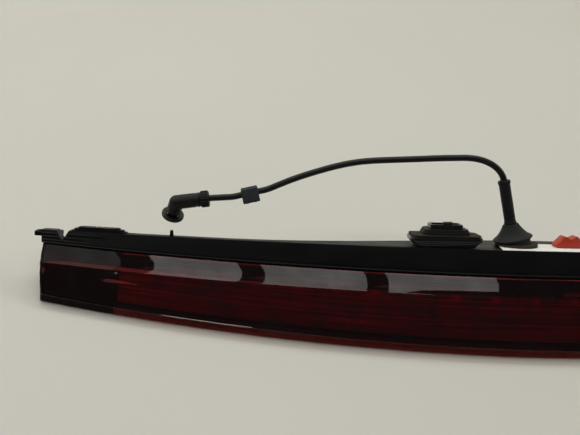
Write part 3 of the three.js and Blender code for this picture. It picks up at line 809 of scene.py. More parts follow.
@dataclass
class Studio:
    """Camera, floor, backdrop and lights."""

    eye: tuple[float, float, float] = (-229.4 * MM, -508.1 * MM, 163.6 * MM)
    heading: float = math.radians(-1.888)
    pitch: float = math.radians(7.5)
    roll: float = math.radians(1.725)
    lens: float = 43.45
    floor_reach: float = 3.0
    wall_distance: float = 1.6
    bend_radius: float = 0.6
    world_strength: float = 0.08
    panel_depth: float = 0.6
    panel_y: float = 0.305
    panel_height: float = 1.6
    room_lights: tuple[tuple, ...] = (
        ("back_light", (-0.2, 1.6, 1.6), (-0.15, 0.2, 0.0), (3.0, 1.2), 40.0),
        ("left_light", (-2.0, 0.4, 1.4), (-0.1, 0.0, 0.0), (1.4, 1.0), 14.0),
        ("right_light", (2.0, 0.4, 1.4), (-0.1, 0.0, 0.0), (1.4, 1.0), 14.0),
        ("front_light", (-0.1, -0.62, 1.8), (-0.1, -0.2, 0.0), (2.6, 0.2), 9.0),
    )
    panels: tuple[tuple[float, float, float], ...] = (
        (-1.60, -1.05, 0.8), (-0.908, -0.558, 3.4), (-0.468, -0.088, 3.4), (-0.008, 0.401, 3.4),
    )

    def build_camera(self) -> None:
        """Makes the camera and hands it to the scene."""
        data = bpy.data.cameras.new("camera")
        data.lens = self.lens
        data.sensor_width = 36.0
        data.clip_start = 0.01
        camera = bpy.data.objects.new("camera", data)
        turned = Matrix.Rotation(self.heading, 4, "Z") @ Matrix.Rotation(math.pi / 2 - self.pitch, 4, "X")
        drawn = Matrix.Translation(self.eye) @ turned @ Matrix.Rotation(self.roll, 4, "Z")
        camera.matrix_world = STANCE @ drawn
        bpy.context.scene.collection.objects.link(camera)
        bpy.context.scene.camera = camera

    def build_floor(self) -> None:
        """Makes one sheet that is the floor in front and the wall behind."""
        section = [(-2.2, 0.0), (self.wall_distance - self.bend_radius, 0.0)]
        for i in range(1, 13):
            angle = math.pi / 2 * i / 12
            section.append((
                self.wall_distance - self.bend_radius * (1 - math.sin(angle)),
                self.bend_radius * (1 - math.cos(angle)),
            ))
        section.append((self.wall_distance, 2.6))
        bm = sweep(section, [-self.floor_reach, self.floor_reach], False, lambda x, y, z: Vector((x, y, z)))
        mesh = bpy.data.meshes.new("studio_floor")
        bm.to_mesh(mesh)
        bm.free()
        mesh.materials.append(FINISHES.get(TABLE))
        mesh.shade_smooth()
        floor = bpy.data.objects.new("studio_floor", mesh)
        bpy.context.scene.collection.objects.link(floor)

    def add_light(
        self, name: str, at: Sequence[float], aim: Sequence[float], size: Pair, watts: float
    ) -> None:
        """Adds a rectangular light that faces a point."""
        data = bpy.data.lights.new(name, "AREA")
        data.shape = "RECTANGLE"
        data.size, data.size_y = size
        data.energy = watts
        data.color = (1.0, 0.985, 0.95)
        light = bpy.data.objects.new(name, data)
        light.location = at
        light.rotation_euler = (Vector(aim) - Vector(at)).to_track_quat("-Z", "Y").to_euler()
        bpy.context.scene.collection.objects.link(light)

    def build_lights(self) -> None:
        """Makes the soft room lights and the ceiling panels that the lens mirrors."""
        world = bpy.data.worlds.new("studio")
        world.use_nodes = True
        background = world.node_tree.nodes["Background"]
        background.inputs["Color"].default_value = (0.95, 0.97, 1.0, 1.0)
        background.inputs["Strength"].default_value = self.world_strength
        bpy.context.scene.world = world
        for light in self.room_lights:
            self.add_light(*light)
        for i, (left, right, watts) in enumerate(self.panels):
            middle, width = (left + right) / 2, right - left
            at, aim = (middle, self.panel_y, self.panel_height), (middle, self.panel_y, 0.0)
            size = (width, self.panel_depth)
            self.add_light(f"ceiling_panel_{i + 1}", at, aim, size, watts * width)


# ---- washer hose ------------------------------------------------------------------------


@dataclass
class WasherHose:
    """The washer hose and the clip and elbow on it."""

    radius: float = 2.5 * MM
    drop: float = math.radians(8.3)
    turn: float = math.radians(-33.0)
    bend_angle: float = math.radians(67.0)
    corner: float = 18.5 * MM
    elbow_radius: float = 5.6 * MM
    route: tuple[tuple[float, float, float], ...] = (
        (-45.2, 24.0, 112.6), (-48.3, 24.0, 126.5), (-49.7, 24.3, 130.2), (-52.4, 24.6, 134.0),
        (-56.0, 25.0, 137.1), (-61.0, 25.5, 139.8), (-67.2, 26.0, 141.8), (-76.3, 27.0, 142.8),
        (-85.3, 28.0, 142.5), (-98.9, 29.5, 141.8), (-112.9, 31.0, 140.8), (-127.7, 32.5, 139.8),
        (-141.1, 33.5, 138.9), (-152.3, 34.3, 137.9), (-162.5, 35.0, 136.4), (-176.9, 35.6, 133.1),
        (-189.2, 36.0, 129.4), (-198.4, 36.0, 126.4), (-212.3, 36.0, 121.2), (-220.0, 36.0, 117.9),
        (-230.57, 35.72, 113.46), (-236.89, 35.46, 111.93), (-243.2, 35.2, 110.4),
        (-249.51, 34.94, 108.87), (-255.83, 34.68, 107.34), (-264.0, 34.1, 106.6),
        (-274.0, 33.5, 105.8), (-281.6, 33.0, 104.6), (-285.5, 33.0, 104.0),
    )
    mouth: tuple[float, float, float] = (-281.6, 33.0, 104.6)
    clip_middle: tuple[float, float, float] = (-243.2, 35.2, 110.4)
    clip_axis: tuple[float, float, float] = (21.9, 0.9, 5.3)

    def at(self, point: Sequence[float]) -> Vector:
        """Gives a drawn point in metres."""
        return Vector(point) * MM

    def build_hose(self) -> bpy.types.Object:
        """Makes the hose as a curve through its route."""
        curve = bpy.data.curves.new("washer_hose_curve", "CURVE")
        curve.dimensions = "3D"
        curve.bevel_depth = self.radius
        curve.bevel_resolution = 6
        curve.resolution_u = 6
        curve.use_fill_caps = True
        spline = curve.splines.new("BEZIER")
        spline.bezier_points.add(len(self.route) - 1)
        for knot, point in zip(spline.bezier_points, self.route):
            knot.co = STANCE @ self.at(point)
            knot.handle_left_type = knot.handle_right_type = "AUTO"
        curve.materials.append(FINISHES.get(HOSE_RUBBER))
        hose = bpy.data.objects.new("rubber_hose", curve)
        bpy.context.scene.collection.objects.link(hose)
        register(hose, Body.LAMP, ("washer_hose",), "hose_rubber")
        return hose

    def length(self) -> float:
        """Gives the length of the route."""
        points = [self.at(point) for point in self.route]
        return sum((b - a).length for a, b in zip(points, points[1:]))

    def build_clip(self) -> bpy.types.Object:
        """Makes the moulded clip that slides on the hose."""
        outer = [(x - 1.5 * MM, y) for x, y in rounded(rectangle(11.4 * MM, 10.4 * MM), 0.9 * MM, 5)]
        inner = rounded(rectangle(6.2 * MM, 6.2 * MM), 3.1 * MM, 5)
        bm = hollow_slab(outer, inner, -6.6 * MM, 6.6 * MM, 0.5 * MM)
        for height in (-3.2, 3.2):
            rib_outer = rounded(rectangle(12.2 * MM, 11.2 * MM), 1.8 * MM, 5)
            rib_inner = rounded(rectangle(11.0 * MM, 10.0 * MM), 1.6 * MM, 5)
            rib = hollow_slab(rib_outer, rib_inner, (height - 0.7) * MM, (height + 0.7) * MM, 0.25 * MM)
            absorb(bm, move(rib, (-1.5 * MM, 0, 0)))
        seam = slab(rounded(rectangle(1.2 * MM, 2.4 * MM), 0.3 * MM), -6.2 * MM, 6.2 * MM, 0.2 * MM)
        absorb(bm, move(seam, (4.4 * MM, 0, 0)))
        along = Vector(self.clip_axis).normalized()
        bm = transformed(bm, along.to_track_quat("Z", "X").to_matrix().to_4x4())
        move(bm, self.at(self.clip_middle))
        node, slot = "hose_clip", "grey_green_rubber"
        return Piece("hose_clip_body", bm, CLIP_PLASTIC, Body.CLIP, (node,), slot).place()

    def elbow_frame(self) -> Matrix:
        """Gives the elbow's own axes: +Z along the hose, -Y to the side the outlet leaves on."""
        towards = Vector((-math.cos(self.drop), 0, -math.sin(self.drop)))
        side = Vector((
            math.cos(self.turn) * math.sin(self.drop),
            -math.sin(self.turn),
            -math.cos(self.turn) * math.cos(self.drop),
        ))
        back = -side
        axes = Matrix((back.cross(towards), back, towards)).transposed().to_4x4()
        return Matrix.Translation(self.at(self.mouth)) @ axes

    def build_collar(self, matrix: Matrix) -> bpy.types.Object:
        """Makes the knurled sleeve that holds the hose in the elbow."""
        profile = ring_profile(in_metres([
            (3.5, -7), (6.0, -7), (6.0, -0.3), (3.5, -0.3),
        ]), 0.5 * MM)
        bm = lathe(profile, 48)
        for i in range(18):
            ridge = slab(rounded(rectangle(0.9 * MM, 0.9 * MM), 0.25 * MM, 2), -6.4 * MM, -0.9 * MM, 0.2 * MM)
            move(ridge, (6.05 * MM, 0, 0))
            absorb(bm, turn(ridge, 2 * math.pi * i / 18, "Z"))
        return Piece(
            "elbow_grip_collar",
            transformed(bm, matrix),
            MATTE_BLACK,
            Body.ELBOW,
            ("elbow_collar",),
            "matte_black",
        ).place()

    def build_elbow(self, matrix: Matrix) -> bpy.types.Object:
        """Makes the elbow: a barrel, a bend and a ribbed neck."""
        corner, outside = self.corner, self.elbow_radius
        barrel = lathe([
            (3.5 * MM, 5 * MM), (3.5 * MM, 0.2 * MM), (5.2 * MM, 0.0), (outside, 0.4 * MM),
            (outside, 2.2 * MM), (5.3 * MM, 2.6 * MM), (5.3 * MM, 3.4 * MM), (outside, 3.8 * MM),
            (outside, corner),
        ])
        bend = self.bend(outside, corner)
        neck = lathe([
            (outside, 0.0), (5.6 * MM, 2.6 * MM), (5.7 * MM, 3.4 * MM), (5.3 * MM, 3.9 * MM),
            (5.3 * MM, 4.6 * MM), (5.7 * MM, 5.1 * MM), (5.7 * MM, 6.0 * MM), (5.3 * MM, 6.5 * MM),
            (5.3 * MM, 7.2 * MM), (5.7 * MM, 7.7 * MM), (5.7 * MM, 8.7 * MM), (5.4 * MM, 9.0 * MM),
            (4.0 * MM, 9.0 * MM), (4.0 * MM, 15.0 * MM), (3.6 * MM, 15.4 * MM),
            (1.8 * MM, 15.4 * MM), (1.8 * MM, 8.0 * MM),
        ])
        bm = absorb(barrel, bend, self.outwards(neck))
        bmesh.ops.remove_doubles(bm, verts=bm.verts, dist=1e-6)
        bmesh.ops.holes_fill(bm, edges=[e for e in bm.edges if e.is_boundary], sides=0)
        bmesh.ops.recalc_face_normals(bm, faces=bm.faces)
        return Piece(
            "elbow_fitting",
            transformed(bm, matrix),
            MATTE_BLACK,
            Body.ELBOW,
            ("elbow_body",),
            "matte_black",
        ).place()

    def outwards(self, bm: bmesh.types.BMesh) -> bmesh.types.BMesh:
        """Turns a mesh drawn along +Z to leave the corner along the outlet."""
        return move(turn(bm, self.bend_angle, "X"), (0, 0, self.corner))

    def bend(self, radius: float, corner: float) -> bmesh.types.BMesh:
        """Makes the bend between the barrel and the neck as a whole ball."""
        bm = bmesh.new()
        bmesh.ops.create_uvsphere(bm, u_segments=48, v_segments=24, radius=radius)
        turn(bm, math.pi / 2, "X")
        return move(bm, (0, 0, corner))

    def build_release_ring(self, matrix: Matrix) -> bpy.types.Object:
        """Makes the flange that is pressed to let the pipe go."""
        bm = lathe(ring_profile(in_metres([
            (4.4, 11.4), (8.7, 11.4), (8.7, 14.0), (4.4, 14.0),
        ]), 0.8 * MM))
        return Piece(
            "elbow_release_flange",
            transformed(self.outwards(bm), matrix),
            MATTE_BLACK,
            Body.RING,
            ("release_ring",),
            "matte_black",
        ).place()

    def build(self) -> None:
        hose = self.build_hose()
        matrix = self.elbow_frame()
        fittings = [
            self.build_clip(),
            self.build_collar(matrix),
            self.build_elbow(matrix),
            self.build_release_ring(matrix),
        ]
        tuple(STANCE @ self.at(self.route[1]))
        self.length()


# ---- lens and optics --------------------------------------------------------------------


@dataclass
class Lens:
    """The smoked trough-shaped lens with its ridge and clear skirt, whose red body colour is a painted glow.
    """

    half_length: float = 406 * MM
    wall: float = 2.4 * MM
    corner_length: float = 7 * MM
    corner_depth: float = 18 * MM
    back_gap: float = 0.8 * MM
    skirt_top: float = 6.0 * MM
    skirt_reach: float = 347 * MM
    rim_foot: float = 55.2 * MM
    end_cover: float = 403 * MM

    def stations(self) -> list[float]:
        """Gives the places along X, close together round the end corners."""
        straight = self.half_length - self.corner_length
        corner = [straight + self.corner_length * math.sin(math.pi / 2 * i / 7) for i in range(1, 8)]
        return [-x for x in reversed(corner)] + evenly(-straight, straight, 11 * MM) + corner

    def section(self) -> list[Pair]:
        """Gives the open section from the front rim round the foot to the back rim."""
        lip = in_metres([(-1.2, 56.2), (-2.2, 56.3), (-2.7, 55.8)])
        facet = in_metres([(-7.0, 50.4), (-10.2, 46.5), (-12.6, 43.5)])
        face = smooth_chain(in_metres(LOWER_FACE), 7)
        ridge = in_metres([(-22.6, 7.5), (-22.9, 6.9), (-22.6, 6.3), (-21.9, 5.9)])
        skirt = in_metres([(-21.2, 4.2), (-20.1, 1.9), (-18.8, 0.6), (-17.0, 0.0)])
        floor = in_metres([(-10.0, 3.5), (4.0, 10.5), (14.0, 15.5), (21.5, 19.25)])
        back = smooth_chain(in_metres([(24, 20.8), (38, 31), (47, 42), (52, 50), (54, 55.6)]), 5)
        return [*lip, *facet, *face, *ridge, *skirt, *floor, *back]

    def limit(self, x: float) -> float:
        """Gives how far the end corner cuts into the plan at the place x."""
        past = max(0.0, abs(x) - (self.half_length - self.corner_length)) / self.corner_length
        return 1.0 - math.sqrt(max(0.0, 1.0 - past**2))

    def place(self, x: float, y: float, z: float) -> Vector:
        """Keeps a drawn point inside the plan of the lens and lifts it by the bow."""
        cut = self.limit(x)
        front = -23.5 * MM + self.corner_depth * cut
        back = BOW.back(x) - self.back_gap - 2.5 * MM * cut
        depth = min(max(y, front), back)
        return bowed(x, depth, max(z, BOW.foot(depth)) if z < self.skirt_top else z)

    def build(self) -> None:
        """Builds the lens shell."""
        bm = sweep(self.section(), self.stations(), False, self.place)
        close_ends(bm, self.half_length)
        bmesh.ops.remove_doubles(bm, verts=bm.verts, dist=1e-6)
        bmesh.ops.recalc_face_normals(bm, faces=bm.faces)
        lowest = min(bm.faces, key=lambda f: f.calc_center_median().z)
        if lowest.normal.z > 0:
            bmesh.ops.reverse_faces(bm, faces=bm.faces)
        for face in bm.faces:
            middle = face.calc_center_median()
            skirt = middle.z - BOW.lift(middle.x, 0.0, 0.0) < self.skirt_top
            # Painted shade: the rim band takes the opaque dark finish, hiding the light that would come in
            # through the rim. The lens ends and the skirt past the optic take it too.
            rim = middle.z - 9 * MM * BOW.share(middle.x) > self.rim_foot
            if rim or abs(middle.x) > self.end_cover or (skirt and abs(middle.x) > self.skirt_reach):
                face.material_index = 2
            # The other skirt faces take the skirt finish, whose red body colour is a painted glow.
            elif skirt:
                face.material_index = 1
        lens = Piece(
            "smoked_outer_lens",
            bm,
            LENS,
            Body.LAMP,
            ("outer_lens",),
            "smoked_lens",
            14.0,
            (SKIRT_PAINTED_GLOW, DARK_BEZEL_AND_RIM_SHADE),
        ).place()
        shell = lens.modifiers.new("wall", "SOLIDIFY")
        shell.thickness = self.wall
        shell.offset = -1.0
        shell.use_even_offset = False
        shell.thickness_clamp = 1.0


@dataclass
class Optics:
    """What shows through the lens: ribbed optic, end bezels, tray and LED boards."""

    half_length: float = 342 * MM
    top: float = 43.6 * MM
    foot: float = 10.6 * MM
    rib_pitch: float = 2.0 * MM
    rib_depth: float = 0.75 * MM
    clearance: float = 4.3 * MM
    thickness: float = 2.6 * MM
    pipe_pitch: float = 29.4 * MM
    pipe_count: int = 24
    pipe_height: float = 41.2 * MM
    bezel_corner: float = 391 * MM
    bezel_corner_length: float = 12.2 * MM

    def build_optic(self) -> None:
        """Makes the ribbed inner lens with its row of light pipes."""
        count = round((self.top - self.foot) / self.rib_pitch)
        section: list[Pair] = []
        for i in range(count):
            z = self.top - i * self.rib_pitch
            for part, depth in ((0.0, 1.0), (0.55, 0.25), (0.8, 0.0), (0.95, 0.5)):
                height = z - self.rib_pitch * part
                section.append((face_depth(height) + self.clearance + self.rib_depth * depth, height))
        for z in evenly(self.foot, self.top, 7 * MM):
            part = min(1.0, (self.top - z) / (4 * MM))
            depth = self.rib_depth + 0.3 * MM + (self.thickness - self.rib_depth - 0.3 * MM) * part
            section.append((face_depth(z) + self.clearance + depth, z))
        bm = sweep(section, evenly(-self.half_length, self.half_length, 12 * MM), True, bowed)
        for i in range(self.pipe_count):
            x = (i - (self.pipe_count - 1) / 2) * self.pipe_pitch
            absorb(bm, self.light_pipe(x))
        Piece("ribbed_optic", bm, OPTIC, Body.LAMP, ("inner_lens",), "red_optic", 25.0).place()

    def light_pipe(self, x: float) -> bmesh.types.BMesh:
        """Makes one domed light pipe in front of an LED."""
        z = self.pipe_height
        bm = lathe(in_metres([
            (0.0, 2.2), (1.6, 1.8), (2.7, 0.9), (3.1, 0.0), (3.1, -1.2), (0.0, -1.2),
        ]), 16)
        turn(bm, math.radians(70), "X")
        return move(bm, bowed(x, face_depth(z) + self.clearance + 0.6 * MM, z))

    def build_bezels(self) -> None:
        """Makes the two dark end bezels, each with a sloped upper facet over a recess."""
        for side, node in ((Side.LEFT, "end_bezel_left"), (Side.RIGHT, "end_bezel_right")):
            heights = (54.0, 50.0, 46.0, 42.6, 38.0, 30.0, 20.0, 9.4)
            front = [(face_depth(z * MM) + 3.0 * MM, z * MM) for z in heights]
            back = [(-8 * MM, 8.6 * MM), (5 * MM, 15 * MM), (5 * MM, 54 * MM)]
            inner = self.half_length + 0.6 * MM
            turns = [self.bezel_corner_length * math.sin(math.pi / 2 * i / 6) for i in range(1, 7)]
            corner = [side.value * (self.bezel_corner + reach) for reach in turns]
            ends = sorted((side.value * inner, side.value * self.bezel_corner))
            places = sorted([*evenly(*ends, 8 * MM), *corner])
            bm = sweep([*front, *back], places, True, self.place_bezel)
            name = f"{side.name.lower()}_end_bezel"
            Piece(name, bm, DARK_BEZEL_AND_RIM_SHADE, Body.LAMP, (node,), "dark_bezel", 15.0).place()

    def place_bezel(self, x: float, y: float, z: float) -> Vector:
        """Rounds the outer corner of a bezel and moves it to its place on the bow."""
        past = min(1.0, max(0.0, abs(x) - self.bezel_corner) / self.bezel_corner_length)
        cut = 1.0 - math.sqrt(1.0 - past**2)
        return bowed(x, max(y, (-20 + 15 * cut) * MM), z)

    def dress_inside(self) -> None:
        """Gives the hidden pieces behind the optic their finishes."""
        # The tray's near-black colour is painted shade.
        dress("reflector_tray", TRAY_PAINTED_SHADE)
        for i in range(1, 5):
            dress(f"led_board_{i}", BOARD)
            dress(f"tray_screw_{i}", STEEL)
        for i in range(1, 4):
            dress(f"board_link_{i}", WHITE_PLASTIC)

    def build(self) -> None:
        """Builds and dresses everything behind the lens."""
        self.build_optic()
        self.build_bezels()
        self.dress_inside()


def dress(node: str, finish: object) -> None:
    """Gives a carried-over node a finish."""
    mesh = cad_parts[node].data
    mesh.materials.clear()
    mesh.materials.append(FINISHES.get(finish))
    LOG.info("dressed %s in %s", node, finish.name)


# ---- housing ----------------------------------------------------------------------------


@dataclass
class Housing:
    """The stepped black housing with its end bosses, tabs and pegs."""

    half_length: float = 408 * MM
    wall: float = 2.4 * MM
    corner: float = 3 * MM
    notch_x: float = 390.5 * MM
    notch_half: float = 5 * MM
    notch_floor: float = 68.0 * MM
    notch_slope: float = 1.6
    boss_x: float = 361 * MM
    tab_x: float = 405 * MM
    tab_hole_x: float = 411 * MM
    tab_top: float = 73.8 * MM
    peg_x: float = 303 * MM

    def section(self) -> list[Pair]:
        """Gives the open section from the rail's foot over the top and down the back."""
        steps = in_metres([
            (-2.4, 56.7), (-3.0, 56.7), (-3.3, 56.9), (-3.3, 57.5), (-2.7, 58.3), (-2.5, 61.2),
            (-1.9, 62.6), (-1.7, 66.0), (-1.1, 67.4), (-0.9, 71.0), (-0.2, 72.6), (0.0, 75.2),
            (0.2, 75.7), (0.8, 76.0), (3.0, 76.0), (3.3, 75.7), (4.2, 75.7),
        ])
        top = in_metres([(8.0, 75.7), (20.0, 75.7), (70.0, 75.7)])
        back = in_metres([(70.1, 75.4), (70.1, 74.8), (70.1, 66.0), (70.1, 57.3)])
        return [*steps, *top, *back]

    def stations(self) -> list[float]:
        """Gives the places along X, with one at each turn of the notches."""
        straight = self.half_length - self.corner
        places = set(evenly(-straight, straight, 10 * MM))
        for side in Side:
            for part in (-1.0, -0.5, 0.0, 0.5, 1.0):
                places.add(side.value * (self.notch_x + self.notch_half * part))
            for i in range(1, 6):
                places.add(side.value * (straight + self.corner * math.sin(math.pi / 2 * i / 5)))
        return sorted(places)

    def place(self, x: float, y: float, z: float) -> Vector:
        """Fits a drawn point to the plan, the bow and the notches."""
        past = max(0.0, abs(x) - (self.half_length - self.corner)) / self.corner
        cut = self.corner * (1.0 - math.sqrt(max(0.0, 1.0 - past**2)))
        back = BOW.back(x) - cut
        front = -3.3 * MM + cut
        point = bowed(x, min(max(y, front), back), z)
        offset = abs(abs(x) - self.notch_x)
        if offset < self.notch_half:
            point.z = min(point.z, self.notch_floor + self.notch_slope * offset)
        return point

    def end_parts(self, side: Side) -> list[bmesh.types.BMesh]:
        """Makes the boss, the tab and the peg of one end."""
        boss = self.boss()
        turn(boss, side.value * BOW.slope(self.boss_x), "Z")
        move(boss, (side.value * self.boss_x, 4.9 * MM + BOW.sag(self.boss_x), 0))
        tab = hollow_slab(
            rounded(rectangle(21.4 * MM, 12 * MM), 3.4 * MM, 5),
            rounded(rectangle(7.9 * MM, 7.9 * MM), 3.9 * MM, 7),
            self.tab_top - 3.6 * MM,
            self.tab_top,
            0.5 * MM,
        )
        tab_y = 9 * MM + BOW.sag(self.tab_hole_x)
        hole_shift = (self.tab_hole_x - self.tab_x) * side.value
        for vert in tab.verts:
            if math.hypot(vert.co.x, vert.co.y) < 5.0 * MM:
                vert.co.x += hole_shift
        move(tab, (side.value * self.tab_x, tab_y, 0))
        peg = lathe(in_metres([
            (0.0, 72), (1.7, 72), (1.6, 75.5), (1.25, 79.7), (0.9, 80.4), (0.0, 80.6),
        ]), 24)
        move(peg, (side.value * self.peg_x, 5 * MM + BOW.sag(self.peg_x), 0))
        return [boss, tab, peg]

    def boss(self) -> bmesh.types.BMesh:
        """Makes the long oval mounting boss with a raised rim round its hole."""
        bm = bmesh.new()
        for length, depth, low, high in ((46, 8.6, 73.0, 76.9), (41, 8.2, 76.4, 78.3), (34, 7.4, 77.8, 79.5)):
            layer = hollow_slab(
                rounded(rectangle(length * MM, depth * MM), depth * 0.49 * MM, 7),
                rounded(rectangle(6.6 * MM, 6.6 * MM), 3.3 * MM, 7),
                low * MM,
                high * MM,
                0.7 * MM,
            )
            absorb(bm, layer)
        return bm

    def dimple(self, x: float, z: float) -> bmesh.types.BMesh:
        """Makes one small round gate mark on the rail's face."""
        bm = lathe(in_metres([(0.0, 0.1), (1.0, 0.1), (1.2, 0.45), (1.6, 0.5), (1.9, 0.0)]), 24)
        turn(bm, math.pi / 2, "X")
        return move(bm, (x, BOW.sag(x) - 0.9 * MM, z))

    def build(self) -> None:
        """Builds the housing shell and the fittings moulded on it."""
        bm = sweep(self.section(), self.stations(), False, self.place)
        close_ends(bm, self.half_length)
        bmesh.ops.remove_doubles(bm, verts=bm.verts, dist=1e-6)
        bmesh.ops.recalc_face_normals(bm, faces=bm.faces)
        flattest = max(bm.faces, key=lambda f: abs(f.normal.z) * f.calc_area())
        if flattest.normal.z < 0:
            bmesh.ops.reverse_faces(bm, faces=bm.faces)
        bmesh.ops.solidify(bm, geom=list(bm.faces), thickness=self.wall)
        for side in Side:
            absorb(bm, *self.end_parts(side))
        absorb(bm, self.dimple(-101.5 * MM, 67.2 * MM), self.dimple(101.5 * MM, 67.2 * MM))
        node, slot = "rear_housing", "black_plastic"
        Piece("stepped_housing", bm, BLACK_PLASTIC, Body.LAMP, (node,), slot, 30.0).place()
        dress("lens_seal_bead", RUBBER)
        dress("vent_cap", MATTE_BLACK)
        for word in ("left", "right"):
            dress(f"mounting_bush_{word}", BRASS)


# ---- fittings on the mounting side ------------------------------------------------------


@dataclass
class Connector:
    """The sealed electrical connector: collar, foam seal, boot, shroud and lock."""

    x: float = -94 * MM
    y: float = 15.2 * MM
    base: float = 76.3 * MM
    collar_top: float = 84 * MM
    socket: tuple[float, float, float] = (26.4, 15.4, 3)
    boot_hole: tuple[float, float, float] = (25.7, 16.8, 3)

    def layer(self, width: float, depth: float, radius: float, bottom: float, top: float, edge: float):
        """Makes a rounded plate over the connector's middle."""
        outline = rounded(rectangle(width * MM, depth * MM), radius * MM, 5)
        return move(slab(outline, bottom, top, edge * MM), (self.x, self.y, 0))

    def ring(self, outer: Sequence[float], inner: Sequence[float], bottom: float, top: float, edge: float):
        """Makes a rounded plate with a rounded hole over the connector's middle."""
        bm = hollow_slab(
            rounded(rectangle(outer[0] * MM, outer[1] * MM), outer[2] * MM, 5),
            rounded(rectangle(inner[0] * MM, inner[1] * MM), inner[2] * MM, 5),
            bottom,
            top,
            edge * MM,
        )
        return move(bm, (self.x, self.y, 0))

    def build(self) -> None:
        """Builds the pieces of the connector from the housing upwards."""
        base, top = self.base, self.collar_top
        bm = self.ring((46, 20.4, 5), self.socket, base, base + 1.6 * MM, 0.3)
        steps = ((48.6, 21.4, 1.0, 3.0), (51.4, 22.6, 2.4, 4.6), (54.6, 24.0, 3.8, 7.7))
        for width, depth, low, high in steps:
            outer = (width, depth, 6)
            absorb(bm, self.ring(outer, self.socket, base + low * MM, base + high * MM, 0.9))
        node, slot = "connector_collar", "black_plastic"
        Piece("connector_base_collar", bm, BOSS_PLASTIC, Body.LAMP, (node,), slot).place()

        bm = self.ring((52.6, 22.6, 5), (27.4, 16.2, 3), top + 0.3 * MM, top + 1.3 * MM, 0.25)
        Piece("connector_foam_ring", bm, FOAM, Body.LAMP, ("connector_foam_seal",), "foam").place()

        bm = self.boot(top + 1.6 * MM, top + 5.4 * MM)
        Piece("connector_rubber_boot", bm, RUBBER, Body.LAMP, ("connector_boot",), "rubber").place()

        bm = self.ring((25, 14, 2.8), (21, 10, 1.6), top - 2.0 * MM, top + 9 * MM, 0.6)
        absorb(bm, self.layer(23, 12, 2.4, base, top - 3 * MM, 0.3))
        node, slot = "connector_shroud", "matte_black"
        Piece("connector_socket_shroud", bm, BOSS_PLASTIC, Body.LAMP, (node,), slot).place()
        self.build_lock()
        for i in (1, 2):
            dress(f"terminal_{i}", BRASS)
            dress(f"supply_lead_{i}", RED_PLASTIC)

    def boot(self, bottom: float, top: float) -> bmesh.types.BMesh:
        """Makes the low domed rubber boot round the socket."""
        rings = []
        for rise, grow in ((0.0, 1.0), (0.35, 0.98), (0.7, 0.88), (1.0, 0.74)):
            width = 25.7 * MM + (10.4 * MM) * grow
            depth = 16.8 * MM + (4.8 * MM) * grow
            rings.append((bottom + (top - bottom) * rise, width, depth))
        bm = self.ring((36.1, 21.6, 8), self.boot_hole, bottom, bottom + 1.2 * MM, 0.3)
        for (low, *_), (high, width, depth) in zip(rings, rings[1:]):
            outer = (width / MM, depth / MM, 7)
            absorb(bm, self.ring(outer, self.boot_hole, low, high + 0.2 * MM, 0.3))
        return bm

    def build_lock(self) -> None:
        """Makes the sliding lock in front of the socket."""
        low, high = self.collar_top + 3.6 * MM, self.collar_top + 11.4 * MM
        front = self.y - 9.1 * MM
        plate = slab(rounded(rectangle(7 * MM, 1.8 * MM), 0.4 * MM, 3), low, high - 1.4 * MM, 0.25 * MM)
        move(plate, (self.x, front + 0.9 * MM, 0))
        hook = slab(rounded(rectangle(7 * MM, 2.7 * MM), 0.5 * MM, 3), high - 2.0 * MM, high, 0.3 * MM)
        for vert in hook.verts:
            if vert.co.z > high - 1.0 * MM:
                vert.co.z -= max(0.0, -vert.co.y) * 0.5
        move(hook, (self.x, front + 1.35 * MM, 0))
        bm = absorb(plate, hook)
        Piece("connector_lock_tab", bm, MATTE_BLACK, Body.LOCK, ("connector_lock",), "matte_black").place()


